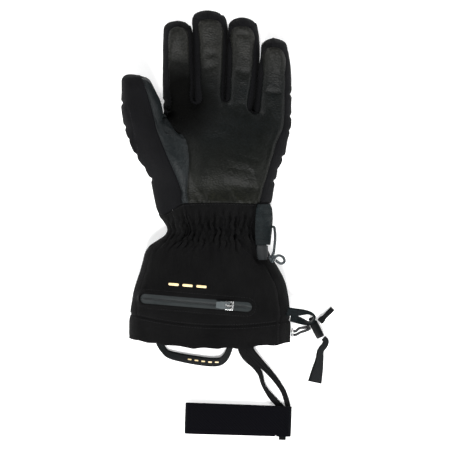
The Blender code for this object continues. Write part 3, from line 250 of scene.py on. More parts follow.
def digit_ring(name, left, right, low, depth, slope):
    """A finger's or the thumb's ring between two side points in the plan, with its back at height low."""
    columns = [mix(*LEATHER_EDGES[name], i / 4) for i in range(5)]
    tilt = math.radians(slope)
    half = depth / 2
    middle = low + half

    def point(u, v):
        share = (u + 1) / 2
        x = mix(left[0], right[0], share)
        y = mix(left[1], right[1], share)
        return Vector((x, y - v * half * math.sin(tilt), middle + v * half * math.cos(tilt)))

    front = [point(u, crown(u, DIGIT_POWER)) for u in columns]
    back = [point(u, -crown(u, DIGIT_POWER)) for u in columns]
    return ring_of(point(-1, 0), front, point(1, 0), back)


def lane(index, y):
    """The x of a lane line between fingers at the height y above the palm's middle."""
    widths = (INDEX_WIDTH, MIDDLE_WIDTH, RING_WIDTH, LITTLE_WIDTH)
    return HAND_LEFT + sum(widths[:index]) + LANE_LEANS[index] * (y - FORK_LINE)


def finger_rings(name, index, width, length):
    """The rings of a finger, root first, inside its lane."""
    left_root = FORK_LINE + LANE_ROOTS[index] * FINGER_DEPTH
    right_root = FORK_LINE + LANE_ROOTS[index + 1] * FINGER_DEPTH
    tip = (left_root + right_root) / 2 + length
    tapers = zip(FINGER_RINGS, *FINGER_TAPERS[name])
    rings = []
    for (station, depth, lift, slope), left_in, right_in in tapers:
        left_y = mix(left_root, tip, station)
        right_y = mix(right_root, tip, station)
        left_x = lane(index, left_y) + FORK_GAP / 2 * (index > 0) + left_in * width
        right_x = lane(index + 1, right_y) - FORK_GAP / 2 * (index < 3) - right_in * width
        low = lift * FINGER_LIFT + (1 - depth) * FINGER_DEPTH / 2
        sides = ((left_x, left_y), (right_x, right_y))
        rings.append(digit_ring(name, *sides, low, depth * FINGER_DEPTH, slope))
    return rings


def thumb_rings():
    """The rings of the thumb above its crotch, base first."""
    base_y = WRIST_SEAM_Y + KNUCKLE_RINGS[1][0] * HAND_LENGTH
    rings = []
    for station, left_in, right_in, depth, lift, slope in THUMB_RINGS:
        y = base_y + station * THUMB_LENGTH
        left = (CROTCH_LEFT - (1 - left_in) * THUMB_WIDTH, y)
        right = (CROTCH_LEFT - right_in * THUMB_WIDTH, y)
        low = THUMB_MOUND + lift * THUMB_LIFT + (1 - depth) * THUMB_DEPTH / 2
        rings.append(digit_ring("thumb", left, right, low, depth * THUMB_DEPTH, slope))
    return rings


def front_shares(thumb_seam, gusset_seam, side_seam):
    """Where the front columns cross a full ring, as shares of its width: 5 the thumb's, 20 the hand's."""
    thumb = [mix(THUMB_CORNER, thumb_seam, i / 3) for i in range(4)]
    gusset = [mix(thumb_seam, gusset_seam, i / 3) for i in (1, 2, 3)]
    hand = [mix(gusset_seam, side_seam, i / 18) for i in range(1, 19)]
    return thumb + gusset + hand


def wide_ring(place, low, depth, shares, mound=0.0, lift=0.0, cup=0.0, gather=0.0):
    """A ring of the palm or cuff, its back flat in the middle. place(share) gives a point in the plan."""
    flat = 0.60

    def front(share, fold):
        u = 2 * share - 1
        height = SIDE_HEIGHT + (1 - SIDE_HEIGHT) * crown(u, HAND_POWER)
        swell = mound * smooth(1 - abs(share - 0.20) / 0.26)
        dip = cup * smooth(1 - abs(share - 0.62) / 0.34)
        x, y = place(share)
        return Vector((x, y, low + depth * height + swell - dip + fold * gather))

    def back(share, fold):
        u = 2 * share - 1
        rise = max(0.0, (abs(u) - flat) / (1 - flat)) ** 2
        raised = lift * smooth((0.30 - share) / 0.30)
        x, y = place(share)
        return Vector((x, y, low + depth * SIDE_HEIGHT * rise + raised + max(0.0, fold) * gather / 2))

    def side(share):
        x, y = place(share)
        return Vector((x, y, low + depth * SIDE_HEIGHT + (lift if share == 0 else 0.0)))

    folds = [0.0 if i in (0, len(shares) - 1) else (-1.0) ** i for i in range(len(shares))]
    fronts = [front(share, fold) for share, fold in zip(shares, folds)]
    backs = [back(mix(share, i / (len(shares) - 1) * 0.9 + 0.05, 0.8), fold)
             for i, (share, fold) in enumerate(zip(shares, folds))]
    return ring_of(side(0), fronts, side(1), backs)


def knuckle_ring(row):
    """A ring of the hand between the forks and the thumb's crotch, with 20 columns."""
    left_up, right_up, inner, outer, depth = row
    left_y = WRIST_SEAM_Y + left_up * HAND_LENGTH
    right_y = WRIST_SEAM_Y + right_up * HAND_LENGTH
    centre = HAND_LEFT + KNUCKLE_MIDDLE * KNUCKLE_WIDTH

    def place(share):
        x = centre + mix(inner, outer, share) * KNUCKLE_WIDTH
        return x, mix(left_y, right_y, share)

    shares = [mix(0.045, 0.945, i / 19) for i in range(20)]
    ring = wide_ring(place, 0.0, depth * PALM_DEPTH, shares, cup=PALM_CUP)
    for points in (ring["front"], ring["back"]):
        for share, point in zip(shares, points):
            point.xy = place(share)
    return ring


def palm_ring(row):
    """A ring of the hand between the thumb's crotch and the wrist seam, with 25 columns."""
    left_up, right_up, reach, outer, depth, mound, *seams = row
    left_y = WRIST_SEAM_Y + left_up * HAND_LENGTH
    right_y = WRIST_SEAM_Y + right_up * HAND_LENGTH
    left_x = CROTCH_LEFT - reach * THUMB_WIDTH
    right_x = HAND_LEFT + (KNUCKLE_MIDDLE + outer) * KNUCKLE_WIDTH

    def place(share):
        return mix(left_x, right_x, share), mix(left_y, right_y, share)

    return wide_ring(place, 0.0, depth * PALM_DEPTH, front_shares(*seams),
                     mound=mound * THUMB_MOUND, lift=mound * THUMB_MOUND, cup=PALM_CUP)


def cuff_ring(row):
    """A ring of the cuff or of its hem, with 25 columns."""
    down_left, down_right, sag, flare_left, flare_right, flare_depth, *gather = row
    left_x = mix(WRIST_LEFT, CUFF_LEFT, flare_left)
    right_x = mix(WRIST_RIGHT, CUFF_RIGHT, flare_right)
    depth = mix(WRIST_DEPTH, CUFF_DEPTH, flare_depth)

    def place(share):
        u = 2 * share - 1
        down = mix(down_left, down_right, share) + sag * (1 - u * u)
        return mix(left_x, right_x, share), WRIST_SEAM_Y - down * CUFF_LENGTH

    seams = [mix(a, b, smooth(flare_left)) for a, b in zip(SEAM_PAST_WRIST, HEM_SEAMS)]
    fold = (gather[0] if gather else 0.0) * GATHER_DEPTH
    return wide_ring(place, 0.0, depth, front_shares(*seams), gather=fold)


def hand_and_thumb(thumb, hand):
    """The thumb's base ring and the hand's ring beside it, as one ring across both."""
    front, back = (thumb[side] + hand[side] for side in ("front", "back"))
    return ring_of(thumb["left"], front, hand["right"], back)


def crotch_ring():
    """The hand's ring at the thumb's crotch, with its thumb side drawn in to leave room for the thumb."""
    ring = knuckle_ring(KNUCKLE_RINGS[1])
    ring["left"] += Vector((CROTCH_GAP, 0, 0))
    return ring


class Surface:
    """The outside of the glove as quads, each with the name of the panel that it belongs to."""

    def __init__(self):
        self.bm = bmesh.new()
        self.panel = self.bm.faces.layers.string.new("panel")
        self.known = {}
        self.soft = set()

    def vert(self, point):
        key = id(point)
        if key not in self.known:
            self.known[key] = (self.bm.verts.new(point), point)
        return self.known[key][0]

    def quad(self, points, panel):
        face = self.bm.faces.new([self.vert(p) for p in points])
        face[self.panel] = panel.encode()

    def strip(self, low, high, panel_at):
        """Quads between two rings with as many points; panel_at(column) names each one's panel."""
        a, b = loop_of(low), loop_of(high)
        for i in range(len(a)):
            j = (i + 1) % len(a)
            self.quad([a[i], a[j], b[j], b[i]], panel_at(i))

    def cap(self, ring, panel, bulge):
        """Closes a digit's last ring with a rounded end."""
        along = (ring["front"][2] - ring["back"][2]).cross(Vector((1, 0, 0))).normalized()
        middle = [ring["left"]]
        for i in (1, 2, 3):
            centre = (ring["front"][i] + ring["back"][i]) / 2
            middle.append(centre + along * bulge * (1.0 if i == 2 else 0.9))
        middle.append(ring["right"])
        self.soft.update(self.vert(p) for p in middle[1:4])
        for i in range(4):
            self.quad([ring["front"][i], ring["front"][i + 1], middle[i + 1], middle[i]], panel)
            self.quad([middle[i], middle[i + 1], ring["back"][i + 1], ring["back"][i]], panel)

    def fork(self, left, right, panel):
        """The floor of the gap between two digits."""
        self.quad([left["front"][-1], right["front"][0], right["left"], left["right"]], panel)
        self.quad([left["right"], right["left"], right["back"][0], left["back"][-1]], panel)


FINGERS = (
    ("index", INDEX_WIDTH, INDEX_LENGTH),
    ("middle", MIDDLE_WIDTH, MIDDLE_LENGTH),
    ("ring", RING_WIDTH, RING_LENGTH),
    ("little", LITTLE_WIDTH, LITTLE_LENGTH),
)


def finger_panel(index, ring):
    """Names the panel of each column round a finger: leather in front, gussets at its sides, the back."""

    def panel_at(column):
        if ring == len(FINGER_RINGS) - 2:
            return "back_shell"
        if 1 <= column <= 4:
            return "palm_leather"
        if column in (5, 6):
            return f"finger_gusset_{index + 1}" if index < 3 else "back_shell"
        if column in (0, 11):
            return f"finger_gusset_{index}" if index > 0 else "back_shell"
        return "back_shell"

    return panel_at


def thumb_panel(column):
    return "thumb_leather" if column in (4, 5, 6, 7) else "thumb_shell"


def knuckle_panel(column):
    return "palm_leather" if 1 <= column <= 19 else "back_shell"


def palm_panel(ring):
    """Names the panel of each of the 52 columns round the hand below the thumb's crotch."""

    def panel_at(column):
        if column <= 3 or column == 51:
            return "thumb_shell"
        if column in (4, 5) or (column == 6 and ring > 0):
            return "thumb_leather"
        if 6 <= column <= 24:
            return "palm_leather"
        return "back_shell"

    return panel_at


def cuff_panel(column):
    return "cuff_front" if 1 <= column <= 24 else "cuff_back"


def glove_surface():
    """The whole outside of the glove, from the fingertips to the hem."""
    surface = Surface()
    fingers = [finger_rings(name, i, width, length) for i, (name, width, length) in enumerate(FINGERS)]
    for i, rings in enumerate(fingers):
        for k in range(len(rings) - 1):
            surface.strip(rings[k], rings[k + 1], finger_panel(i, k))
        surface.cap(rings[-1], "back_shell", FINGER_DEPTH * FINGER_BULGE)
    for i in range(3):
        surface.fork(fingers[i][0], fingers[i + 1][0], f"finger_gusset_{i + 1}")
    roots = ring_of(
        fingers[0][0]["left"],
        [p for rings in fingers for p in rings[0]["front"]],
        fingers[3][0]["right"],
        [p for rings in fingers for p in rings[0]["back"]],
    )
    knuckles = knuckle_ring(KNUCKLE_RINGS[0])
    hand = crotch_ring()
    surface.strip(knuckles, roots, knuckle_panel)
    surface.strip(hand, knuckles, knuckle_panel)

    thumb = thumb_rings()
    for k in range(len(thumb) - 1):
        surface.strip(thumb[k], thumb[k + 1], thumb_panel)
    surface.cap(thumb[-1], "thumb_shell", THUMB_DEPTH * THUMB_BULGE)
    surface.fork(thumb[0], hand, "thumb_leather")

    rings = [hand_and_thumb(thumb[0], hand)] + [palm_ring(row) for row in PALM_RINGS]
    rings.append(cuff_ring(CUFF_RINGS[0]))
    for k in range(len(rings) - 1):
        surface.strip(rings[k + 1], rings[k], palm_panel(k))
    cuff = [rings[-1]] + [cuff_ring(row) for row in CUFF_RINGS[1:]]
    for k in range(len(cuff) - 1):
        surface.strip(cuff[k + 1], cuff[k], cuff_panel)
    hem = [cuff[-1]] + [cuff_ring(row) for row in HEM_RINGS]
    for k in range(len(hem) - 1):
        surface.strip(hem[k + 1], hem[k], lambda column: "hem_band")
    surface.bm.normal_update()
    return surface


# Creases and ridges on the front, as lines in the plan in millimetres: from x, y to x, y, height and half
# width. A height below 0 is a crease.
FRONT_FOLDS = (
    # x0, y0, x1, y1, height, width
    (-50.0, 98.5, -33.0, 98.0, -0.9, 1.6),
    (-50.0, 93.0, -36.0, 91.0, 0.5, 3.0),
    (-50.0, 82.0, -35.0, 84.0, -0.6, 4.0),
    (-47.0, 112.0, -40.0, 126.0, 0.5, 3.5),
    (-12.0, 105.5, 0.0, 104.0, -0.7, 1.5),
    (-20.0, 101.0, -4.0, 98.0, 0.5, 2.5),
    (-19.5, 89.5, -7.0, 94.5, -1.3, 2.6),
    (-20.0, 108.0, -8.0, 110.0, 0.5, 3.5),
    (-18.0, 76.0, -4.0, 78.0, 0.4, 5.0),
    (9.5, 96.0, 16.0, 90.5, -0.8, 1.3),
    (11.5, 99.5, 19.0, 94.5, -0.6, 1.2),
    (13.0, 88.0, 24.0, 87.0, -1.3, 2.8),
    (12.0, 124.0, 23.0, 123.0, -0.9, 3.0),
    (14.0, 129.0, 21.0, 129.5, 0.4, 2.0),
    (10.0, 79.0, 25.0, 80.0, 0.4, 4.0),
    (45.0, 110.0, 52.5, 82.0, 0.7, 3.0),
    (50.0, 82.0, 57.0, 76.0, -0.4, 1.2),
    (49.0, 78.0, 57.0, 72.5, -0.4, 1.2),
    (43.0, 68.5, 56.0, 67.5, -1.0, 3.0),
    (42.0, 93.0, 50.0, 86.0, -0.4, 2.5),
    (-53.0, 60.0, -22.0, 58.0, -2.2, 9.0),
    (-30.0, 52.0, 20.0, 55.0, -0.8, 6.0),
    (-48.0, 44.0, -34.0, 39.0, 1.0, 3.5),
    (-40.0, 36.0, -26.0, 33.0, -0.6, 2.5),
    (25.0, 48.0, 42.0, 52.0, -0.7, 4.0),
    (-10.0, 24.0, 22.0, 16.0, -0.4, 8.0),
    (5.0, 11.0, 33.0, 3.0, -0.45, 1.8),
    (8.0, 5.0, 33.0, -3.0, 0.4, 2.2),
    (6.0, -3.0, 34.0, -9.0, -0.45, 1.9),
    (8.0, -11.0, 34.0, -17.0, 0.35, 2.2),
    (4.0, -18.0, 32.0, -22.0, -0.4, 2.0),
    (30.0, -4.0, 36.0, -26.0, 0.6, 2.5),
    (-20.0, -26.0, -15.0, -31.0, 1.0, 2.2),
    (-24.0, -30.0, -20.0, -34.5, -0.9, 1.6),
    (-13.0, -29.0, -12.0, -35.0, -0.8, 1.6),
    (7.0, -27.0, 11.0, -34.0, -0.8, 1.6),
    (12.0, -27.0, 17.0, -33.0, 0.6, 2.0),
    (-50.0, 37.0, -41.0, 30.0, -2.0, 1.8),
    (-52.0, 31.0, -38.0, 26.0, -2.2, 1.9),
    (-49.0, 24.0, -35.0, 21.5, -1.8, 1.8),
    (-51.0, 34.0, -42.0, 28.5, 1.4, 1.7),
    (-50.0, 27.5, -37.0, 24.0, 1.4, 1.7),
    (-47.0, 18.0, -35.0, 15.0, -1.3, 2.0),
    (-55.0, 25.0, -45.0, 16.0, 0.8, 2.2),
    (-51.0, 14.0, -40.0, 10.0, -0.5, 2.0),
    (-62.0, 58.0, -52.0, 40.0, 0.5, 4.0),
    (-86.0, 84.0, -74.0, 74.0, -0.6, 1.3),
    (-80.0, -30.0, -55.0, -46.0, 0.8, 5.0),
    (14.0, -68.0, 34.0, -90.0, -2.4, 2.6),
    (20.0, -66.0, 38.0, -84.0, 1.2, 3.2),
    (34.0, -90.0, 50.0, -106.0, -1.9, 2.4),
    (50.0, -106.0, 57.0, -134.0, -1.2, 2.2),
    (8.0, -56.0, 24.0, -74.0, 1.0, 3.0),
    (24.0, -50.0, 32.0, -66.0, -1.0, 2.2),
    (-60.0, -72.0, -48.0, -64.0, 1.0, 5.0),
    (-52.0, -78.0, -44.0, -90.0, 0.6, 5.0),
    (-8.0, -72.0, -12.0, -100.0, -0.6, 4.0),
    (4.0, -72.0, 12.0, -98.0, 0.7, 4.5),
    (-30.0, -74.0, -38.0, -98.0, -0.5, 4.5),
    (-74.0, -108.0, -60.0, -118.0, 0.6, 7.0),
    (30.0, -112.0, 44.0, -128.0, 0.7, 6.0),
    (-70.0, -160.0, -66.0, -168.0, -0.7, 3.0),
    (-20.0, -158.0, -16.0, -171.0, -0.6, 4.0),
    (22.0, -158.0, 28.0, -172.0, -0.7, 4.0),
    (48.0, -156.0, 52.0, -168.0, -0.8, 3.0),
    (-40.5, 138.0, -38.0, 131.5, -1.1, 0.9),
    (-14.0, 148.0, -13.8, 139.0, -1.1, 0.9),
    (15.2, 141.0, 14.7, 132.0, -1.1, 0.9),
    (48.7, 122.0, 46.6, 112.0, -1.1, 0.9),
    (-88.5, 54.4, -83.9, 30.4, -0.7, 1.0),
    (-83.9, 30.4, -79.9, 13.3, -0.7, 1.0),
    (54.2, -146.0, 54.0, -171.0, -1.0, 1.0),
)
# Creases of the strap at the wrist's side as above, and the lines that are sewn across it, up the thumb and
# across the hem, in millimetres.
STRAP_FOLDS = (
    (31.0, -41.0, 51.0, -43.5, 1.2, 2.0),
    (31.0, -45.5, 51.0, -47.0, -1.0, 1.2),
    (33.0, -52.0, 44.0, -49.0, 0.8, 1.6),
    (41.0, -55.0, 50.0, -50.0, -0.6, 1.2),
    (38.0, -50.0, 41.0, -68.0, -0.6, 1.6),
    (44.0, -52.0, 47.0, -69.0, 0.6, 1.8),
    (33.0, -64.0, 42.0, -59.0, 0.7, 1.6),
    (32.0, -70.2, 51.0, -72.4, -0.7, 0.8),
)
STRAP_SEAM = ((34.0, -71.0), (48.5, -72.8))
THUMB_STITCHES = ((-87.6, 54.0), (-83.0, 30.4), (-79.0, 13.3))
HEM_STITCHES = ((53.0, -148.5), (52.8, -168.0))
# The dark plate on the zip's slider, dark inside its bright metal rim: its length and width in millimetres.
INLAY = (5.4, 5.8)
# The stitch that tacks the wrist band: x, y, length and height in millimetres, and turn.
BAND_TACK = (51.3, -258.0, 1.1, 0.9, 0.3)
# Three plain gold bars above the zip, and the dashes on the pull-on loop: places and sizes in millimetres.
GOLD_BARS = ((-45.5, -112.9, 9.6, 2.3), (-32.4, -113.9, 9.6, 2.3), (-19.3, -114.9, 9.6, 2.3))
GOLD_BAR_SLOPE = math.radians(-4.4)
LOOP_DASHES = (-31.0, -24.5, -18.0, -11.5, -5.0)
LOOP_DASH = (3.6, 1.3)

# The quilting across the padded back: the lines' heights in millimetres at the thumb's edge and at the other
# edge, and their depth.
QUILT_LINES = (
    # left, right, depth
    (58.4, 67.5, 1.5),
    (36.0, 46.6, 1.4),
    (24.0, 33.3, 0.8),
    (9.8, 7.6, 1.6),
    (-2.0, -3.8, 0.8),
    (-12.9, -15.2, 1.6),
)
# Each panel's material slot, how far its padding rises over its seams, how deep its seams are pulled in, and
# the size of its small wrinkles, in millimetres.
PANEL_ROWS = (
    # panel, slot, rise, seam depth, wrinkles
    ("palm_leather", "palm_leather", 0.3, 0.65, 0.22),
    ("thumb_leather", "thumb_leather", 0.7, 0.9, 0.25),
    ("thumb_shell", "shell_fabric", 1.0, 0.8, 0.22),
    ("finger_gusset_1", "shell_fabric", 0.5, 0.4, 0.0),
    ("finger_gusset_2", "shell_fabric", 0.5, 0.4, 0.0),
    ("finger_gusset_3", "shell_fabric", 0.5, 0.4, 0.0),
    ("back_shell", "shell_fabric", 0.9, 0.8, 0.22),
    ("cuff_front", "cuff_fabric", 0.7, 0.8, 0.30),
    ("cuff_back", "cuff_fabric", 0.7, 0.8, 0.30),
    ("hem_band", "cuff_fabric", 0.6, 0.9, 0.35),
)
PANELS = [row[0] for row in PANEL_ROWS]
# Each finger's tip, the leather's rounded top and the radius of its corners, in millimetres, and how much
# wider the blunt tip is.
FINGERTIPS = {
    # finger: (tip, leather top, radius, wider)
    "index": (135.4, 130.6, 9.5, 0.04),
    "middle": (145.2, 137.0, 8.5, 0.03),
    "ring": (138.6, 130.4, 9.0, 0.08),
    "little": (119.4, 110.6, 9.0, 0.12),
}
# How much wider the leather is just below its rounded top, how far down that starts, and how square the top
# is.
LEATHER_FLARE = {"index": 0.08, "middle": 0.10, "ring": 0.26, "little": 0.28}
FLARE_LENGTH = 26 * MM
LEATHER_POWER = 2.8
# The thumb's tip, in millimetres, and how much wider it is.
THUMB_TIP = (84.6, 0.05)
# The wrist seam of the front in the plan, from the thumb's side to the other, in millimetres.
WRIST_SEAM = ((-58.0, -48.5), (-50.0, -44.6), (-44.0, -40.8), (-37.0, -36.8), (-20.0, -35.8),
              (0.0, -35.6), (32.0, -37.0))
# Where the thumb leather's seams run in the plan, from the thumb to the wrist, in millimetres.
THUMB_PALM_SEAM = ((-54.3, 49.1), (-51.3, 42.8), (-46.6, 37.1), (-41.8, 31.8), (-37.2, 29.1),
                   (-33.3, 23.8), (-31.6, 15.8), (-30.4, 3.8), (-31.2, -6.8), (-32.4, -17.6),
                   (-33.0, -26.6), (-33.2, -36.0))
THUMB_SHELL_SEAM = ((-75.0, 81.5), (-71.3, 71.3), (-65.9, 50.4), (-61.3, 31.7), (-56.1, 18.4),
                    (-47.9, -1.5), (-41.6, -16.2), (-37.4, -28.2), (-36.4, -36.0))
# The swelling that hides the slots between the fingers: how far it rises and how many times that at the fork,
# its half height, and how far above or below the middle of a finger's side it lies.
SLOT_SWELL = 1.2 * MM
FORK_SWELL = 1.7
SLOT_REACH = 4.0 * MM
SLOT_SHIFT = 4.5 * MM
# The gathers of the elastic wrist: their number and depth, the heights where they start, are full and end,
# and the rows of elastic that are sewn across them.
PLEATS = 17
PLEAT_DEPTH = 1.5 * MM
GATHER_TOP = -38 * MM
GATHER_FULL_TOP = -55 * MM
GATHER_FULL_LOW = -67 * MM
GATHER_LOW = -94 * MM
ELASTIC_ROWS = (-0.0495, -0.0555, -0.0615, -0.0665)
WAIST = -0.0575
# Where the palm's leather changes along Y, in metres: from cool and darker down to warm and paler, and into
# the finger pads; the pads' tint, partly their own tone and partly a painted highlight; and the painted shade
# in the hollow beside the thumb, as its middle, its half sizes and its tint. The warm, paler palm and the
# cool, darker middle are partly the leather's own tones and partly painted light and shade.
COOL_SHADED_TO_WARM_LIT = (0.055, -0.010)
COOL_SHADED_TO_LIT_PADS = (0.092, 0.122)
PAD_TONE_AND_HIGHLIGHT = (0.0125, 0.0124, 0.0108)
PAINTED_SHADE_MIDDLE = (-0.040, 0.060)
PAINTED_SHADE_REACH = (0.030, 0.034)
PAINTED_SHADE_TINT = (0.0012, 0.0012, 0.0011)
# The photograph's frame: its width and centre on the floor, in metres.
VIEW_WIDTH = 0.4275
VIEW_CENTRE = (0.00285, -0.0570)
SKIN_LEVELS = 3


def cage_mesh(surface):
    """The surface as a mesh whose material indices are its panels, and which of its points are firm."""
    for face in surface.bm.faces:
        face.material_index = PANELS.index(face[surface.panel].decode())
    surface.bm.verts.index_update()
    firm = np.ones((len(surface.bm.verts), 1))
    firm[[vert.index for vert in surface.soft]] = 0.0
    mesh = bpy.data.meshes.new("glove")
    surface.bm.to_mesh(mesh)
    surface.bm.free()
    return mesh, firm


def coordinates(mesh):
    co = np.empty(len(mesh.vertices) * 3)
    mesh.vertices.foreach_get("co", co)
    return co.reshape(-1, 3)


def vertex_normals(mesh):
    normal = np.empty(len(mesh.vertices) * 3)
    mesh.vertices.foreach_get("normal", normal)
    return normal.reshape(-1, 3)


def evaluated(mesh, levels):
    """A subdivided copy of a mesh."""
    obj = bpy.data.objects.new("subdivided", mesh)
    bpy.context.scene.collection.objects.link(obj)
    change = obj.modifiers.new("smooth", "SUBSURF")
    change.levels = levels
    depsgraph = bpy.context.evaluated_depsgraph_get()
    result = bpy.data.meshes.new_from_object(obj.evaluated_get(depsgraph))
    bpy.data.objects.remove(obj)
    return result


def smooth_through(mesh, firm, levels, rounds=3, share=0.7):
    """Subdivides a mesh so that the smooth surface still passes near its firm points."""
    target = coordinates(mesh)
    cage = target.copy()
    for _ in range(rounds):
        mesh.vertices.foreach_set("co", cage.ravel())
        mesh.update()
        result = evaluated(mesh, 1)
        cage += (target - coordinates(result)[: len(target)]) * share * firm
        bpy.data.meshes.remove(result)
    mesh.vertices.foreach_set("co", cage.ravel())
    mesh.update()
    return evaluated(mesh, levels)


class Skin:
    """The subdivided surface of the glove, as arrays."""

    def __init__(self, mesh):
        self.co = coordinates(mesh)
        count = len(mesh.polygons)
        corners = np.empty(count * 4, int)
        mesh.loops.foreach_get("vertex_index", corners)
        self.quads = corners.reshape(-1, 4)
        self.panel = np.empty(count, int)
        mesh.polygons.foreach_get("material_index", self.panel)
        self.edge_of = np.empty(count * 4, int)
        mesh.loops.foreach_get("edge_index", self.edge_of)
        self.edges = np.empty(len(mesh.edges) * 2, int)
        mesh.edges.foreach_get("vertices", self.edges)
        self.edges = self.edges.reshape(-1, 2)
        self.normal = self.normals()
        self.name_edges()

    def name_edges(self):
        """Finds the seams, which are the edges between two panels."""
        low = np.full(len(self.edges), 99)
        high = np.full(len(self.edges), -1)
        np.minimum.at(low, self.edge_of, np.repeat(self.panel, 4))
        np.maximum.at(high, self.edge_of, np.repeat(self.panel, 4))
        self.edge_panels = np.stack([low, high], axis=1)
        self.vert_panel = np.empty(len(self.co), int)
        self.vert_panel[self.quads.ravel()] = np.repeat(self.panel, 4)

    def sewn(self):
        """Which edges lie in a seam."""
        return self.edge_panels[:, 0] != self.edge_panels[:, 1]

    def between(self, first, second):
        """The seam edges between two panels."""
        pair = sorted((PANELS.index(first), PANELS.index(second)))
        return self.edges[np.all(self.edge_panels == pair, axis=1)]

    def normals(self):
        a, b, c, d = (self.co[self.quads[:, k]] for k in range(4))
        faces = np.cross(c - a, d - b)
        total = np.zeros_like(self.co)
        for k in range(4):
            np.add.at(total, self.quads[:, k], faces)
        return total / np.linalg.norm(total, axis=1, keepdims=True)

    def measure_seams(self):
        """Each point's distance to the nearest seam, and how deep that seam is pulled in, from 0 to 1."""
        sewn = self.sewn()
        a, b = self.co[self.edges[sewn, 0]], self.co[self.edges[sewn, 1]]
        samples = np.concatenate([a + (b - a) * t for t in (0, 0.25, 0.5, 0.75)])
        pull = np.array([seam_pull(*pair, p[0]) for pair, p in zip(self.edge_panels[sewn], a)])
        tree = kdtree.KDTree(len(samples))
        for i, p in enumerate(samples):
            tree.insert(p, i)
        tree.balance()
        found = [tree.find(p) for p in self.co]
        self.seam_distance = np.array([item[2] for item in found])
        self.seam_pull = pull[np.array([item[1] for item in found]) % len(pull)]

    def slide(self, which, shift):
        """Moves points in the plan, along the surface."""
        normal = self.normal[which]
        fall = (normal[:, 0] * shift[:, 0] + normal[:, 1] * shift[:, 1]) / np.maximum(normal[:, 2], 0.4)
        self.co[which] += np.column_stack([shift, -fall])

    def noise(self, scale, seed):
        """Smooth noise from -1 to 1 over the surface, with features of that size in metres."""
        offset = Vector((seed * 7.3, seed * 1.7, seed * 3.1))
        return np.array([noise.noise(Vector(p) / scale + offset) for p in self.co])


def seam_pull(low, high, x):
    """How hard a seam is drawn in: little where one padded panel simply runs on into the next."""
    pair = {PANELS[low], PANELS[high]}
    if pair == {"cuff_front", "cuff_back"}:
        return 0.1 if x < 0 else 0.9
    if "back_shell" in pair and any(name.startswith("finger") for name in pair):
        return 0.25
    return 1.0


def blunt(skin, near, tip, wider, zone=11 * MM):
    """Presses the points at the end of a finger back so that it ends at its tip, and widens it there."""
    start = tip - zone
    end = np.nonzero(near & (skin.co[:, 1] > start))[0]
    up = (skin.co[end, 1] - start) / (skin.co[end, 1].max() - start)
    skin.co[end, 1] = start + zone * up * (1 + 0.35 * (1 - up))
    centre = skin.co[end, 0].mean()
    skin.co[end, 0] += (skin.co[end, 0] - centre) * wider * fade(up, 0.0, 0.6)


def blunt_tips(skin):
    """Blunts the ends of the fingers and the thumb."""
    x, y = skin.co[:, 0].copy(), skin.co[:, 1].copy()
    for index, (name, _, _) in enumerate(FINGERS):
        lanes = (x > lane(index, y)) & (x < lane(index + 1, y))
        blunt(skin, lanes, FINGERTIPS[name][0] * MM, FINGERTIPS[name][3])
    blunt(skin, (x < CROTCH_LEFT - 4 * MM) & (y < 95 * MM), THUMB_TIP[0] * MM, THUMB_TIP[1])
    skin.normal = skin.normals()


def round_leather_tops(skin):
    """Gives the leather on each finger its rounded top."""
    leather_panel = PANELS.index("palm_leather")
    for index, (name, width, length) in enumerate(FINGERS):
        top, radius = (v * MM for v in FINGERTIPS[name][1:3])
        rings = finger_rings(name, index, width, length)
        heights = [ring["front"][2].y for ring in rings]
        left = [ring["front"][0].x for ring in rings]
        right = [ring["front"][4].x for ring in rings]

        def measure(points):
            """The leather's outline function at points of the plan, below 0 inside it, and its slope."""
            x, y = points[:, 0], points[:, 1]
            low, high = np.interp(y, heights, left), np.interp(y, heights, right)
            flare = LEATHER_FLARE[name] * fade(y, top - FLARE_LENGTH, top - radius)
            half = (high - low) / 2 * (1 + flare)
            u = (x - (low + high) / 2) / half
            v = np.maximum(0.0, (y - (top - radius)) / radius)
            value = np.abs(u) ** LEATHER_POWER + v ** LEATHER_POWER - 1
            across, up = (LEATHER_POWER * np.abs(w) ** (LEATHER_POWER - 1) for w in (u, v))
            return value, np.column_stack([across * np.sign(u) / half, up / radius]), u

        def nearby(points, u, facing):
            return (points[:, 1] > top - FLARE_LENGTH) & (np.abs(u) < 1.25) & (facing > 0.05)

        centres = skin.co[skin.quads].mean(axis=1)
        value, _, u = measure(centres)
        near = nearby(centres, u, skin.normal[skin.quads].mean(axis=1)[:, 2])
        inside = near & (value < 0)
        outside = near & (value >= 0) & (skin.panel == leather_panel)
        sides = ["back_shell", *(f"finger_gusset_{k}" for k in (1, 2, 3)), "back_shell"]
        skin.panel[inside] = leather_panel
        skin.panel[outside & (u < 0)] = PANELS.index(sides[index])
        skin.panel[outside & (u >= 0)] = PANELS.index(sides[index + 1])
        skin.name_edges()
        edge = skin.sewn() & np.any(skin.edge_panels == leather_panel, axis=1)
        rim = np.unique(skin.edges[edge])
        rim = rim[nearby(skin.co[rim], measure(skin.co[rim])[2], skin.normal[rim, 2])]
        for _ in range(3):
            value, slope, _ = measure(skin.co[rim])
            shift = -slope * (value / np.maximum((slope ** 2).sum(axis=1), 1e-9))[:, None]
            reach = np.linalg.norm(shift, axis=1, keepdims=True)
            skin.slide(rim, shift * np.minimum(1.0, 0.8 * MM / np.maximum(reach, 1e-9)))
    skin.normal = skin.normals()


def chains(edges):
    """Orders edges into runs of points."""
    beside = {}
    for a, b in edges.tolist():
        beside.setdefault(a, []).append(b)
        beside.setdefault(b, []).append(a)
    runs = []
    while beside:
        start = min(beside, key=lambda v: (len(beside[v]), v))
        run = [start]
        while beside.get(run[-1]):
            here = run[-1]
            after = beside[here].pop()
            beside[after].remove(here)
            run.append(after)
        beside = {v: near for v, near in beside.items() if near}
        runs.append(run)
    return sorted(runs, key=len, reverse=True)


def distances(run):
    """How far along a run each of its points lies."""
    return np.concatenate([[0.0], np.cumsum(np.linalg.norm(np.diff(run, axis=0), axis=1))])


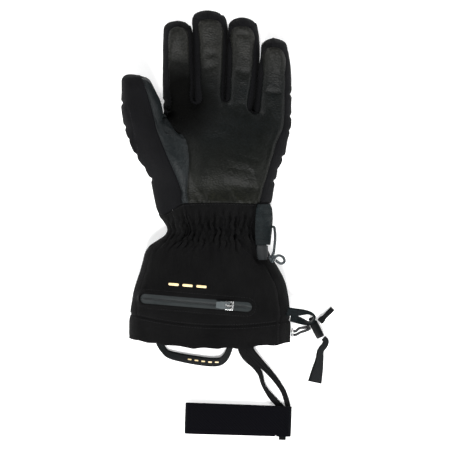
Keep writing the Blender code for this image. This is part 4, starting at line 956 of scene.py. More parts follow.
def sampled(places, steps, run):
    """A run's points, or what goes with them, at some distances along it."""
    return np.column_stack([np.interp(places, steps, run[:, k]) for k in range(run.shape[1])])


def along_path(path, shares):
    """Points at shares of a path's length."""
    steps = distances(path)
    return sampled(shares * steps[-1], steps, path)


def draw_seams(skin, wanted, reach=16 * MM):
    """Slides the front so that seams run along paths in the plan. wanted: two panels and a path for each."""
    pins, moves = [], []
    for first, second, path in wanted:
        run = np.array(chains(skin.between(first, second))[0])
        run = run[skin.normal[run, 2] > 0.1]
        if skin.co[run[0], 1] < skin.co[run[-1], 1]:
            run = run[::-1]
        places = skin.co[run]
        steps = distances(places[:, :2])
        target = along_path(np.array(path) * MM, steps / steps[-1])
        pins.append(places)
        moves.append(target - places[:, :2])
    pins, moves = np.concatenate(pins), np.concatenate(moves)
    low = WRIST_SEAM_Y + 0.5 * MM
    near = np.nonzero((skin.normal[:, 2] > 0.0) & (skin.co[:, 0] < 0) & (skin.co[:, 1] > low))[0]
    apart = np.linalg.norm(skin.co[near][:, None] - pins[None], axis=2)
    weight = 1 / (apart + 0.2 * MM) ** 3
    shift = (weight[:, :, None] * moves[None]).sum(axis=1) / weight.sum(axis=1)[:, None]
    hold = np.clip(1 - (apart.min(axis=1) / reach) ** 2, 0, 1) ** 2
    hold *= fade(skin.co[near, 1], low, WRIST_SEAM_Y + 7 * MM)
    skin.slide(near, shift * hold[:, None])
    skin.normal = skin.normals()


def bend_wrist_seam(skin, reach=15 * MM):
    """Moves the front of the wrist so that its seam drops towards the thumb's side."""
    hand = ("palm_leather", "thumb_leather", "thumb_shell", "back_shell")
    seam = np.unique(np.concatenate([skin.between("cuff_front", name) for name in hand]))
    seam = seam[(skin.normal[seam, 2] > 0.05) & (skin.co[seam, 1] > -0.060)]
    seam = seam[np.argsort(skin.co[seam, 0])]
    wanted = np.array(WRIST_SEAM) * MM
    drop = np.interp(skin.co[seam, 0], wanted[:, 0], wanted[:, 1]) - skin.co[seam, 1]
    for sign, end in ((1, wanted[0, 0]), (-1, wanted[-1, 0])):
        drop *= fade(sign * skin.co[seam, 0], sign * end - 4 * MM, sign * end + 2 * MM)
    near = np.nonzero(skin.normal[:, 2] > -0.3)[0]
    x, y = skin.co[near, 0], skin.co[near, 1]
    away = np.abs(y - np.interp(x, skin.co[seam, 0], skin.co[seam, 1]))
    shift = np.interp(x, skin.co[seam, 0], drop) * np.clip(1 - (away / reach) ** 2, 0, 1) ** 2
    shift *= fade(skin.normal[near, 2], 0.15, 0.5)
    skin.slide(near, np.column_stack([np.zeros(len(near)), shift]))
    skin.normal = skin.normals()


def fade(value, start, end):
    """0 at start, 1 at end, smooth between."""
    share = np.clip((value - start) / (end - start), 0, 1)
    return share * share * (3 - 2 * share)


def line_field(x, y, x0, y0, x1, y1, width):
    """1 on a line in the plan, falling off over its half width and before its ends."""
    dx, dy = x1 - x0, y1 - y0
    length = math.hypot(dx, dy)
    along = ((x - x0) * dx + (y - y0) * dy) / length
    off = ((x - x0) * dy - (y - y0) * dx) / length
    past = np.maximum(0, np.maximum(-along, along - length))
    return np.exp(-(off / width) ** 2 - (past / (width * 1.6)) ** 2)


def folds_field(skin):
    """Height of the creases and ridges of the front, in metres."""
    x = skin.co[:, 0] / MM + skin.noise(0.013, 21) * 2.2
    y = skin.co[:, 1] / MM + skin.noise(0.011, 22) * 2.0
    front = fade(skin.normal[:, 2], 0.05, 0.45) * (0.75 + 0.5 * skin.noise(0.008, 23))
    total = np.zeros(len(x))
    for x0, y0, x1, y1, height, width in FRONT_FOLDS:
        total += height * line_field(x, y, x0, y0, x1, y1, width)
    return total * front * MM


def padding_field(skin):
    """Height of each panel's padding over its seams, in metres."""
    rise, depth, wrinkle = (np.array([row[k] for row in PANEL_ROWS]) for k in (2, 3, 4))
    distance = skin.seam_distance / MM
    height = rise[skin.vert_panel] * (1 - np.exp(-(distance / 4.5) ** 2))
    height -= depth[skin.vert_panel] * skin.seam_pull * np.exp(-(distance / 1.1) ** 2)
    small = skin.noise(0.006, 1) * 0.6 + skin.noise(0.0028, 2) * 0.35 + skin.noise(0.016, 3)
    height += wrinkle[skin.vert_panel] * small * fade(distance, 0.0, 4.0)
    return height * MM


def quilting_field(skin):
    """The stitched channels across the padded back, seen as notches at the hand's edges."""
    x, y = skin.co[:, 0] / MM, skin.co[:, 1] / MM
    names = [PANELS.index(name) for name in ("back_shell", "thumb_shell")]
    padded = np.isin(skin.vert_panel, names)
    padded &= skin.co[:, 1] < FORK_LINE + 0.014
    across = np.clip((x + 94) / 156, 0, 1)
    reach = fade(skin.seam_distance / MM, 0.0, 5.0) * fade(-skin.normal[:, 2], -0.75, -0.1)
    total = np.zeros(len(x))
    for left, right, depth in QUILT_LINES:
        level = left + (right - left) * across
        total += 0.35 * depth * np.exp(-(((y - level) / 6.5) ** 2))
        total -= 1.35 * depth * np.exp(-(((y - level) / 1.8) ** 2))
    return total * reach * padded * MM


def gathers_field(skin):
    """The pleats of the elastic wrist, deepest in a narrow zone and fanning out into the cuff."""
    x, y = skin.co[:, 0], skin.co[:, 1]
    spread = fade(-y, 0.066, 0.096)
    left = -0.050 - 0.022 * spread
    right = 0.030 + 0.013 * spread
    share = (x - left) / (right - left)
    warp = skin.noise(0.016, 5) * 0.50 + skin.noise(0.007, 6) * 0.16
    warp += 0.16 * np.sin((y + 0.060) / 0.0019)
    wave = 2 * np.abs(np.sin(math.pi * (PLEATS * share + warp))) ** 0.8 - 1.0
    envelope = fade(y, GATHER_TOP, GATHER_FULL_TOP) * (1 - fade(y, GATHER_FULL_LOW, GATHER_LOW)) ** 1.6
    uneven = 0.85 + 0.75 * skin.noise(0.012, 7)
    sides = fade(share, -0.06, 0.06) * fade(share, 1.08, 0.94)
    facing = np.where(skin.normal[:, 2] > 0, 1.0, 0.6) * fade(np.abs(skin.normal[:, 2]), 0.15, 0.6)
    waist = np.exp(-(((y - WAIST) / 0.0125) ** 2)) * MM
    elastic = sum(np.exp(-(((y - row) / 0.0011) ** 2)) for row in ELASTIC_ROWS) * 0.35 * MM
    on_cuff = np.isin(skin.vert_panel, [PANELS.index("cuff_front"), PANELS.index("cuff_back")])
    pleats = wave * envelope * uneven * PLEAT_DEPTH
    return ((pleats - elastic) * sides * facing - waist) * on_cuff


def close_slots(skin):
    """Height of the swelling on the sides that face each other across a slot between two fingers, low on one
    and high on the other, so that they overlap seen from above."""
    total = np.zeros(len(skin.co))
    for index in (1, 2, 3):
        walls = np.nonzero(skin.vert_panel == PANELS.index(f"finger_gusset_{index}"))[0]
        x, y, z = skin.co[walls].T
        side = np.sign(x - lane(index, y))
        middle = np.zeros(len(walls))
        for sign, finger in ((-1, index - 1), (1, index)):
            rings = finger_rings(FINGERS[finger][0], finger, *FINGERS[finger][1:])
            points = np.array([tuple(ring["right" if sign < 0 else "left"]) for ring in rings])
            middle = np.where(side == sign, np.interp(y, points[:, 1], points[:, 2]), middle)
        off = (z - middle - side * SLOT_SHIFT) / SLOT_REACH
        root = FORK_LINE + LANE_ROOTS[index] * FINGER_DEPTH
        swell = SLOT_SWELL * mix(FORK_SWELL, 1.0, fade(y, root + 4 * MM, root + 12 * MM))
        swell *= np.exp(-(off ** 2)) * fade(np.abs(skin.normal[walls, 0]), 0.3, 0.8)
        total[walls] = swell * fade(y, root - 8 * MM, root - 4 * MM)
    return total


def soft_sag(skin):
    """Broad, soft unevenness of the cuff and the padded back."""
    on_cuff = fade(-skin.co[:, 1], 0.075, 0.100)
    broad = skin.noise(0.045, 8) * 1.0 + skin.noise(0.022, 9) * 0.45
    return broad * (0.35 + 1.05 * on_cuff) * MM * fade(skin.seam_distance / MM, 0.0, 8.0)


def press_under(skin, node, gap=0.35 * MM):
    """Keeps the surface below a piece that lies on it."""
    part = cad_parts[node]
    lo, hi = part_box(node)
    tree = BVHTree.FromObject(part, bpy.context.evaluated_depsgraph_get())
    low, high = np.array(lo[:2]) - 4 * MM, np.array(hi[:2]) + 4 * MM
    near = np.all((skin.co[:, :2] > low) & (skin.co[:, :2] < high), axis=1)
    near &= skin.normal[:, 2] > 0.0
    for i in np.nonzero(near)[0]:
        p = Vector(skin.co[i])
        hit = tree.ray_cast(Vector((p.x, p.y, lo.z - 0.02)), Vector((0, 0, 1)))[0]
        if hit is not None:
            limit = hit.z - gap
        else:
            closest = tree.find_nearest(p)[0]
            off = math.hypot(closest.x - p.x, closest.y - p.y)
            limit = closest.z - gap + off * 1.3
        skin.co[i, 2] = min(p.z, limit)


def panel_wall(skin, name, wall):
    """One panel of the skin as the points and faces of a closed wall, its edges drawn a little inwards."""
    faces = skin.quads[skin.panel == PANELS.index(name)]
    used = np.unique(faces)
    number = np.full(len(skin.co), -1)
    number[used] = np.arange(len(used))
    quads = number[faces]
    co = skin.co[used].copy()
    normal = skin.smooth_normal[used]
    sides = np.concatenate([quads[:, [k, (k + 1) % 4]] for k in range(4)])
    keys = np.sort(sides, axis=1)
    _, first, counts = np.unique(keys, axis=0, return_index=True, return_counts=True)
    rim = sides[first[counts == 1]]
    centres = co[quads].mean(axis=1)
    inward = np.zeros_like(co)
    around = np.zeros(len(co))
    for k in range(4):
        np.add.at(inward, quads[:, k], centres)
        np.add.at(around, quads[:, k], 1)
    inward = inward / around[:, None] - co
    edge = np.unique(rim)
    length = np.linalg.norm(inward[edge], axis=1, keepdims=True)
    co[edge] += inward[edge] / np.maximum(length, 1e-9) * 0.15 * MM
    count = len(co)
    points = np.concatenate([co, co - normal * wall])
    polygons = np.concatenate([quads, quads[:, ::-1] + count])
    walls = np.stack([rim[:, 1], rim[:, 0], rim[:, 0] + count, rim[:, 1] + count], axis=1)
    return points, np.concatenate([polygons, walls])


def mesh_piece(name, points, faces, sharp=40):
    """A piece from arrays of points and faces, smooth but for its sharp edges."""
    mesh = bpy.data.meshes.new(name)
    mesh.from_pydata([tuple(p) for p in points], [], [tuple(int(i) for i in f) for f in faces])
    mesh.update()
    mesh.shade_smooth()
    mesh.set_sharp_from_angle(angle=math.radians(sharp))
    obj = bpy.data.objects.new(name, mesh)
    bpy.context.scene.collection.objects.link(obj)
    return obj


def refined(node, name, levels=2, bevel=0.0, swell=0.0):
    """A finer copy of a CAD node: its flat sides stay, its long edges run smoothly. swell thickens it."""
    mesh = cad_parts[node].data.copy()
    mesh.name = name
    bm = bmesh.new()
    bm.from_mesh(mesh)
    bmesh.ops.remove_doubles(bm, verts=bm.verts, dist=1e-6)
    bmesh.ops.join_triangles(bm, faces=bm.faces, angle_face_threshold=math.radians(35),
                             angle_shape_threshold=math.radians(75))
    bm.normal_update()
    crease = bm.edges.layers.float.new("crease_edge")
    for edge in bm.edges:
        if edge.is_manifold and edge.calc_face_angle() > math.radians(45):
            edge[crease] = 1.0
    bm.to_mesh(mesh)
    bm.free()
    mesh.materials.clear()
    result = evaluated(mesh, levels)
    result.name = name
    obj = bpy.data.objects.new(name, result)
    bpy.context.scene.collection.objects.link(obj)
    if bevel:
        round_edges(obj, bevel)
    result = obj.data
    if swell:
        result.vertices.foreach_set("co", (coordinates(result) + vertex_normals(result) * swell).ravel())
    result.shade_smooth()
    result.set_sharp_from_angle(angle=math.radians(50))
    return obj


def round_edges(obj, width):
    change = obj.modifiers.new("bevel", "BEVEL")
    change.width = width
    change.segments = 2
    change.limit_method = "ANGLE"
    change.angle_limit = math.radians(50)
    depsgraph = bpy.context.evaluated_depsgraph_get()
    mesh = bpy.data.meshes.new_from_object(obj.evaluated_get(depsgraph))
    obj.modifiers.clear()
    obj.data = mesh


class Shade:
    """A procedural material: its shader, and short calls that add and join nodes."""

    def __init__(self, name, roughness, specular=0.5, metallic=0.0, sheen=0.0):
        self.material = bpy.data.materials.new(name)
        self.material.use_nodes = True
        self.nodes = self.material.node_tree.nodes
        self.links = self.material.node_tree.links
        self.shader = self.nodes["Principled BSDF"]
        self.shader.inputs["Roughness"].default_value = roughness
        self.shader.inputs["Specular IOR Level"].default_value = specular
        self.shader.inputs["Metallic"].default_value = metallic
        self.shader.inputs["Sheen Weight"].default_value = sheen
        self.shader.inputs["Sheen Roughness"].default_value = 0.45
        self.place = self.nodes.new("ShaderNodeTexCoord").outputs["Object"]

    def set(self, socket, value):
        if hasattr(value, "node"):
            self.links.new(value, socket)
        elif isinstance(value, tuple) and len(value) == 3 and socket.type == "RGBA":
            socket.default_value = (*value, 1.0)
        else:
            socket.default_value = value

    def stretched(self, x, y, z, turn=0.0):
        """The place, scaled along each axis and turned about Z in degrees."""
        node = self.nodes.new("ShaderNodeMapping")
        self.links.new(self.place, node.inputs["Vector"])
        node.inputs["Scale"].default_value = (x, y, z)
        node.inputs["Rotation"].default_value = (0.0, 0.0, math.radians(turn))
        return node.outputs["Vector"]

    def noise(self, size, detail=3.0, roughness=0.55, place=None, distortion=0.0):
        """Noise from 0 to 1 with features of that size in metres."""
        node = self.nodes.new("ShaderNodeTexNoise")
        self.links.new(place or self.place, node.inputs["Vector"])
        node.inputs["Scale"].default_value = 1 / size
        node.inputs["Detail"].default_value = detail
        node.inputs["Roughness"].default_value = roughness
        node.inputs["Distortion"].default_value = distortion
        return node.outputs["Fac"]

    def cells(self, size, place=None, randomness=1.0):
        """Distance from the middles of scattered cells of that size in metres."""
        node = self.nodes.new("ShaderNodeTexVoronoi")
        self.links.new(place or self.place, node.inputs["Vector"])
        node.inputs["Scale"].default_value = 1 / size
        node.inputs["Randomness"].default_value = randomness
        return node.outputs["Distance"]

    def bands(self, period, direction, place=None):
        """Even bands from 0 to 1, a period in metres apart."""
        node = self.nodes.new("ShaderNodeTexWave")
        node.bands_direction = direction
        self.links.new(place or self.place, node.inputs["Vector"])
        node.inputs["Scale"].default_value = 0.314159 / period
        return node.outputs["Fac"]

    def axis(self, name):
        node = self.nodes.new("ShaderNodeSeparateXYZ")
        self.links.new(self.place, node.inputs["Vector"])
        return node.outputs[name]

    def sum(self, operation, a, b):
        node = self.nodes.new("ShaderNodeMath")
        node.operation = operation
        self.set(node.inputs[0], a)
        self.set(node.inputs[1], b)
        return node.outputs["Value"]

    def spread(self, value, low, high, to_low=0.0, to_high=1.0):
        """Maps a range of a value to another, clamped."""
        node = self.nodes.new("ShaderNodeMapRange")
        node.clamp = True
        self.set(node.inputs["Value"], value)
        node.inputs["From Min"].default_value = low
        node.inputs["From Max"].default_value = high
        node.inputs["To Min"].default_value = to_low
        node.inputs["To Max"].default_value = to_high
        return node.outputs["Result"]

    def mix(self, share, a, b):
        node = self.nodes.new("ShaderNodeMix")
        node.data_type = "RGBA"
        self.set(node.inputs["Factor"], share)
        self.set(node.inputs[6], a)
        self.set(node.inputs[7], b)
        return node.outputs[2]

    def colour(self, value):
        self.set(self.shader.inputs["Base Color"], value)

    def roughness(self, value):
        self.set(self.shader.inputs["Roughness"], value)

    def bump(self, height, strength, distance):
        """Adds relief: the height, how strongly it shows, and its depth in metres."""
        node = self.nodes.new("ShaderNodeBump")
        node.inputs["Strength"].default_value = strength
        node.inputs["Distance"].default_value = distance
        self.set(node.inputs["Height"], height)
        normal = self.shader.inputs["Normal"]
        if normal.is_linked:
            self.links.new(normal.links[0].from_socket, node.inputs["Normal"])
        self.links.new(node.outputs["Normal"], normal)


def leather(name, warm, cool, dark, hollow=0.0, gloss=0.095):
    """Supple grained leather, its tint set along Y: warmer and paler low on the palm and on the pads, cooler
    and darker between, partly its own tones and partly painted light and shade; painted shade darkens it and
    dims its reflection in the hollow beside the thumb.
    """
    shade = Shade(name, 0.50, specular=gloss)
    broad = shade.noise(0.050, 2.0)
    up = shade.axis("Y")
    # Painted light and shade, with the leather's own tones: paler and warmer low on the palm, cooler and
    # darker above.
    low = shade.spread(shade.sum("ADD", up, shade.sum("MULTIPLY", broad, 0.05)), *COOL_SHADED_TO_WARM_LIT)
    tint = shade.mix(low, cool, warm)
    # The pads' paler tint: partly their own tone, partly a painted highlight.
    pads = shade.spread(shade.sum("ADD", up, shade.sum("MULTIPLY", broad, 0.03)), *COOL_SHADED_TO_LIT_PADS)
    tint = shade.mix(pads, tint, PAD_TONE_AND_HIGHLIGHT)
    mottle = shade.spread(shade.noise(0.011, 4.0, 0.6), 0.35, 0.68)
    tint = shade.mix(shade.sum("MULTIPLY", mottle, 0.55), tint, dark)
    pebbles = shade.cells(0.0016, shade.stretched(0.75, 1.0, 1.0, 20), 0.9)
    grooves = shade.spread(pebbles, 0.25, 0.75)
    tint = shade.mix(shade.sum("MULTIPLY", grooves, 0.7), tint, dark)
    # Painted shade in the hollow beside the thumb: there the tint turns dark, and below, the reflection is
    # dimmed.
    apart = shade.sum("MULTIPLY", shade.noise(0.014, 2.0), 0.7)
    for name, middle, reach in zip("XY", PAINTED_SHADE_MIDDLE, PAINTED_SHADE_REACH):
        off = shade.sum("DIVIDE", shade.sum("SUBTRACT", shade.axis(name), middle), reach)
        apart = shade.sum("ADD", apart, shade.sum("MULTIPLY", off, off))
    deep = shade.spread(apart, 0.7, 2.3, hollow, 0.0)
    shade.colour(shade.mix(deep, tint, PAINTED_SHADE_TINT))
    rough = shade.spread(shade.noise(0.009, 4.0), 0.3, 0.7, 0.44, 0.54)
    shade.roughness(shade.sum("ADD", rough, shade.sum("MULTIPLY", deep, 0.3)))
    # Painted shade: the reflection's tint is dimmed in the hollow beside the thumb.
    shade.set(shade.shader.inputs["Specular Tint"], shade.mix(deep, (1.0, 1.0, 1.0), (0.15, 0.15, 0.15)))
    wrinkles = shade.noise(0.0042, 5.0, 0.62, shade.stretched(0.45, 1.0, 1.0, 12), 0.6)
    shade.bump(wrinkles, 0.40, 0.0005)
    shade.bump(shade.sum("SUBTRACT", 1.0, grooves), 0.60, 0.00020)
    shade.bump(shade.noise(0.0007, 2.0), 0.20, 0.0001)
    return shade.material


def weave(name, light, dark, relief=0.5):
    """Matt woven stretch cloth with a fine crossed weave and faint lint."""
    roughness = 0.85
    period = 0.0006
    shade = Shade(name, roughness, specular=0.05, sheen=0.01)
    across = shade.bands(period, "X", shade.stretched(1, 1, 1, 45))
    along = shade.bands(period, "Y", shade.stretched(1, 1, 1, 45))
    threads = shade.sum("MULTIPLY", across, along)
    broad = shade.spread(shade.noise(0.030, 3.0), 0.3, 0.7)
    fine = shade.noise(0.0012, 3.0)
    tint = shade.mix(broad, dark, light)
    tint = shade.mix(shade.sum("MULTIPLY", fine, 0.5), tint, dark)
    shade.colour(tint)
    shade.roughness(shade.spread(fine, 0.3, 0.7, roughness - 0.06, roughness + 0.06))
    shade.bump(threads, relief, 0.00025)
    shade.bump(shade.noise(0.0035, 4.0, 0.6), 0.30, 0.0006)
    return shade.material


def woven_strap(name, light, dark, period, roughness, specular):
    """Webbing or ribbon with a coarse woven rib."""
    shade = Shade(name, roughness, specular=specular, sheen=0.02)
    ribs = shade.bands(period, "DIAGONAL")
    fine = shade.noise(0.0009, 3.0)
    tint = shade.mix(ribs, dark, light)
    tint = shade.mix(shade.sum("MULTIPLY", fine, 0.5), tint, dark)
    shade.colour(tint)
    shade.roughness(shade.spread(fine, 0.3, 0.7, roughness - 0.08, roughness + 0.08))
    shade.bump(ribs, 0.6, 0.0003)
    shade.bump(fine, 0.3, 0.0002)
    return shade.material


def braid(name, light, dark, fleck):
    """Braided cord with pale flecks."""
    shade = Shade(name, 0.6, specular=0.3)
    twist = shade.cells(0.0007)
    flecks = shade.spread(shade.noise(0.0008, 1.0), 0.60, 0.66)
    tint = shade.mix(shade.spread(twist, 0.1, 0.6), light, dark)
    shade.colour(shade.mix(flecks, tint, fleck))
    shade.bump(twist, 0.7, 0.0003)
    shade.roughness(shade.spread(twist, 0.1, 0.6, 0.5, 0.7))
    return shade.material


def moulded(name, colour, wear, roughness, specular):
    """Moulded plastic or rubber with a fine grain and soft patches of a second tint at random."""
    shade = Shade(name, roughness, specular=specular)
    broad = shade.spread(shade.noise(0.004, 3.0), 0.35, 0.7)
    shade.colour(shade.mix(shade.sum("MULTIPLY", broad, 0.6), colour, wear))
    fine = shade.noise(0.0005, 2.0)
    shade.roughness(shade.spread(broad, 0.0, 1.0, roughness - 0.06, roughness + 0.10))
    shade.bump(fine, 0.25, 0.00015)
    return shade.material


def metal(name, colour, tarnish):
    """Bright plated metal with faint brushing and tarnish."""
    shade = Shade(name, 0.22, specular=0.5, metallic=1.0)
    dull = shade.spread(shade.noise(0.0030, 3.0), 0.4, 0.75)
    shade.colour(shade.mix(dull, colour, tarnish))
    shade.roughness(shade.spread(dull, 0.0, 1.0, 0.24, 0.38))
    shade.bump(shade.noise(0.0006, 3.0, 0.6, shade.stretched(1, 6, 1)), 0.15, 0.0001)
    return shade.material


def contour(skin, panels, value):
    """Runs of places and normals where a value crosses 0 on some panels."""
    chosen = np.isin(skin.panel, [PANELS.index(name) for name in panels])
    a, b = skin.edges[:, 0], skin.edges[:, 1]
    crossed = (value[a] > 0) != (value[b] > 0)
    around = skin.edge_of.reshape(-1, 4)[chosen]
    hit = crossed[around]
    twice = hit.sum(axis=1) == 2
    runs = chains(around[twice][hit[twice]].reshape(-1, 2))
    share = (value[a] / np.where(crossed, value[a] - value[b], 1.0))[:, None]
    places = skin.co[a] + (skin.co[b] - skin.co[a]) * share
    normals = skin.normal[a] + (skin.normal[b] - skin.normal[a]) * share
    return [(places[run], normals[run]) for run in runs if len(run) > 3]


def capsules(centre, ahead, up, length, radius):
    """Small round-ended rods as points and faces, each bent down a little at its ends."""
    side = np.cross(up, ahead)
    corners = []
    for along, size in ((-0.5, 0.3), (-0.4, 0.85), (0.0, 1.0), (0.4, 0.85), (0.5, 0.3)):
        for k in range(6):
            angle = math.pi * k / 3
            ring = side * math.cos(angle) * radius * size + up * math.sin(angle) * radius * size * 0.8
            corners.append(centre + ahead * along * length + ring - up * abs(along) * radius * 0.8)
    points = np.stack(corners, axis=1).reshape(-1, 3)
    quads = [(r * 6 + k, r * 6 + (k + 1) % 6, r * 6 + 6 + (k + 1) % 6, r * 6 + 6 + k)
             for r in range(4) for k in range(6)]
    quads += [(3, 2, 1, 0), (5, 4, 3, 0), (24, 25, 26, 27), (24, 27, 28, 29)]
    return points, (np.array(quads)[None] + (np.arange(len(centre)) * 30)[:, None, None]).reshape(-1, 4)


def stitch_run(places, normals, pitch=2.6 * MM, length=1.9 * MM, radius=0.21 * MM, lift=0.04 * MM):
    """Threads laid along a run, each half sunk in the cloth."""
    soft = places.copy()
    for _ in range(4):
        soft[1:-1] = (soft[:-2] + soft[1:-1] * 2 + soft[2:]) / 4
    steps = distances(soft)
    middles = np.arange(pitch / 2, steps[-1], pitch)
    if not len(middles):
        return np.zeros((0, 3)), np.zeros((0, 4), int)
    ends = [sampled(middles + t, steps, soft) for t in (-length / 2, length / 2)]
    up = sampled(middles, steps, normals)
    up /= np.linalg.norm(up, axis=1, keepdims=True)
    ahead = ends[1] - ends[0]
    ahead /= np.maximum(np.linalg.norm(ahead, axis=1, keepdims=True), 1e-9)
    return capsules((ends[0] + ends[1]) / 2 + up * lift, ahead, up, length, radius)


def joined(parts):
    """Several sets of points and faces as one."""
    points, faces, count = [], [], 0
    for some_points, some_faces in parts:
        points.append(some_points)
        faces.append(some_faces + count)
        count += len(some_points)
    return np.concatenate(points), np.concatenate(faces)


class Relief:
    """Heights and normals of a surface seen from above."""

    def __init__(self, points, faces):
        self.tree = BVHTree.FromPolygons(points, faces)
        self.above = max(p[2] for p in points) + 4 * MM

    def at(self, x, y):
        """The height and normal of the highest point above x, y, or of the nearest one."""
        place, normal, _, _ = self.tree.ray_cast(Vector((x, y, 0.2)), Vector((0, 0, -1)))
        if place is None:
            place, normal = self.tree.find_nearest(Vector((x, y, self.above)))[0], Vector((0, 0, 1))
        return place.z, normal

    def path(self, points):
        """A path in the plan, in millimetres, laid on the surface: places and normals."""
        plan = along_path(np.array(points, float) * MM, np.linspace(0, 1, 12 * len(points)))
        hits = [self.at(x, y) for x, y in plan]
        places = [(x, y, hit[0]) for (x, y), hit in zip(plan, hits)]
        return np.array(places), np.array([tuple(hit[1]) for hit in hits])


def node_relief(node):
    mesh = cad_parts[node].data
    return mesh_relief(mesh)


def mesh_relief(mesh):
    return Relief(coordinates(mesh).tolist(), [list(face.vertices) for face in mesh.polygons])


def zip_place(along, across):
    """A point of the plan along and across the zip, in metres from the middle of its left end."""
    level = WRIST_SEAM_Y - CUFF_LENGTH + ZIP_ABOVE_HEM
    x = ZIP_LEFT + along * math.cos(ZIP_SLOPE) - across * math.sin(ZIP_SLOPE)
    return x, level + along * math.sin(ZIP_SLOPE) + across * math.cos(ZIP_SLOPE)


def zip_outline(grow):
    """The zip window's outline, a long slot with round ends, grown by a distance."""
    half = ZIP_WIDTH / 2 - WELT_OVERLAP + grow
    straight = (ZIP_LENGTH - ZIP_WIDTH) / 2
    points = []
    for end in (1, -1):
        for turn in np.linspace(-math.pi / 2, math.pi / 2, 17):
            points.append((end * (straight + half * math.cos(turn)), end * half * math.sin(turn)))
        for share in np.linspace(0, 1, 42)[1:-1]:
            points.append((end * straight * (1 - 2 * share), end * half))
    return [zip_place(ZIP_LENGTH / 2 + x, y) for x, y in points]


def ring_faces(count, rows, closed=False):
    """Quads between rows of points that each go round."""
    return [(r * count + k, r * count + (k + 1) % count, (r + 1) % rows * count + (k + 1) % count,
             (r + 1) % rows * count + k) for r in range(rows if closed else rows - 1) for k in range(count)]


def zip_welt(tape, cuff):
    """The cuff's cloth round the zip, folded over the tape's edges, and the line of its stitches."""
    rows = []
    for grow, rise in WELT_PROFILE:
        share = smooth((grow - 0.8) / 3.6)
        rows.append([(x, y, mix(tape.at(x, y)[0], cuff.at(x, y)[0], share) + rise * MM)
                     for x, y in zip_outline(grow * MM)])
    faces = np.array(ring_faces(len(rows[0]), len(rows), closed=True))[:, ::-1]
    line = np.array(rows[WELT_STITCH_ROW] + rows[WELT_STITCH_ROW][:1])
    return (np.concatenate(rows), faces), (line, np.tile((0.0, 0.0, 1.0), (len(line), 1)))


def zip_tape_piece(tape):
    """The zip's laminated tape, with round ends and a slot between its halves."""
    profile = [(-v, height) for v, height in reversed(TAPE_PROFILE)] + list(TAPE_PROFILE)
    points = []
    for under in (False, True):
        for i in range(TAPE_COLUMNS):
            along = mix(TAPE_MARGIN, ZIP_LENGTH - TAPE_MARGIN, i / (TAPE_COLUMNS - 1))
            end = max(0.0, 1 - min(along, ZIP_LENGTH - along) / (ZIP_WIDTH / 2))
            half = ZIP_WIDTH / 2 * math.sqrt(max(0.01, 1 - end * end))
            for v, height in profile:
                x, y = zip_place(along, v * half)
                points.append((x, y, tape.at(x, y)[0] + (TAPE_UNDERSIDE if under else height) * MM))
    wide = len(profile)
    size = TAPE_COLUMNS * wide
    faces = []
    for i in range(TAPE_COLUMNS - 1):
        for k in range(wide - 1):
            a = i * wide + k
            faces.append((a, a + wide, a + wide + 1, a + 1))
            faces.append((size + a, size + a + 1, size + a + wide + 1, size + a + wide))
    rim = [*range(wide), *range(2 * wide - 1, size, wide)]
    rim += [*range(size - 2, size - wide - 1, -1), *range(size - 2 * wide, 0, -wide)]
    for a, b in zip(rim, rim[1:] + rim[:1]):
        faces.append((a, b, b + size, a + size))
    return mesh_piece("zip_tape_look", points, faces, 60)


def zip_coil_piece(tape):
    """The coil's teeth, side by side along the slot."""
    centres = []
    for i in range(int((ZIP_LENGTH - 2 * COIL_MARGIN) / TOOTH_PITCH)):
        x, y = zip_place(COIL_MARGIN + i * TOOTH_PITCH, TOOTH_STAGGER if i % 2 else -TOOTH_STAGGER)
        centres.append((x, y, tape.at(x, y)[0] + TOOTH_LIFT))
    sides = np.tile((-math.sin(ZIP_SLOPE), math.cos(ZIP_SLOPE), 0.0), (len(centres), 1))
    ups = np.tile((0.0, 0.0, 1.0), (len(centres), 1))
    return mesh_piece("zip_coil_look", *capsules(np.array(centres), sides, ups, TOOTH_LENGTH, TOOTH_RADIUS))


def plates(relief, items, thick=0.22 * MM):
    """Thin plates with round corners. items: x, y, length and height in millimetres, and turn, for each."""
    parts = []
    for x0, y0, length, height, turn in items:
        corner = min(length, height) * 0.42
        ring = []
        for sx, sy, start in ((1, 1, 0), (-1, 1, 90), (-1, -1, 180), (1, -1, 270)):
            for angle in np.radians(start + np.array((0, 30, 60, 90))):
                ring.append((sx * (length / 2 - corner) + corner * math.cos(angle),
                             sy * (height / 2 - corner) + corner * math.sin(angle)))
        rows = []
        for inset, rise in ((0.0, -0.30), (0.0, 0.5), (0.12, 1.0)):
            for u, v in ring:
                u -= math.copysign(inset, u)
                v -= math.copysign(inset, v)
                x = (x0 + u * math.cos(turn) - v * math.sin(turn)) * MM
                y = (y0 + u * math.sin(turn) + v * math.cos(turn)) * MM
                rows.append((x, y, relief.at(x, y)[0] + rise * thick))
        faces = ring_faces(16, 3)
        faces += [(32 + k, 33 + k, 46 - k, 47 - k) for k in range(7)]
        faces += [(15 - k, 14 - k, k + 1, k) for k in range(7)]
        parts.append((np.array(rows), np.array(faces)))
    return joined(parts)


def tube(points, radius, sides=10):
    """A closed loop of cord as points and faces."""
    path = np.array(points)
    ahead = np.roll(path, -1, axis=0) - np.roll(path, 1, axis=0)
    ahead /= np.linalg.norm(ahead, axis=1, keepdims=True)
    middle = path - path.mean(axis=0)
    side = np.cross(ahead, middle)
    side /= np.linalg.norm(side, axis=1, keepdims=True)
    up = np.cross(side, ahead)
    turns = np.arange(sides) * 2 * math.pi / sides
    rows = [path + (side * math.cos(t) + up * math.sin(t)) * radius for t in turns]
    faces = ring_faces(len(path), sides, closed=True)
    return np.concatenate(rows), np.array(faces)


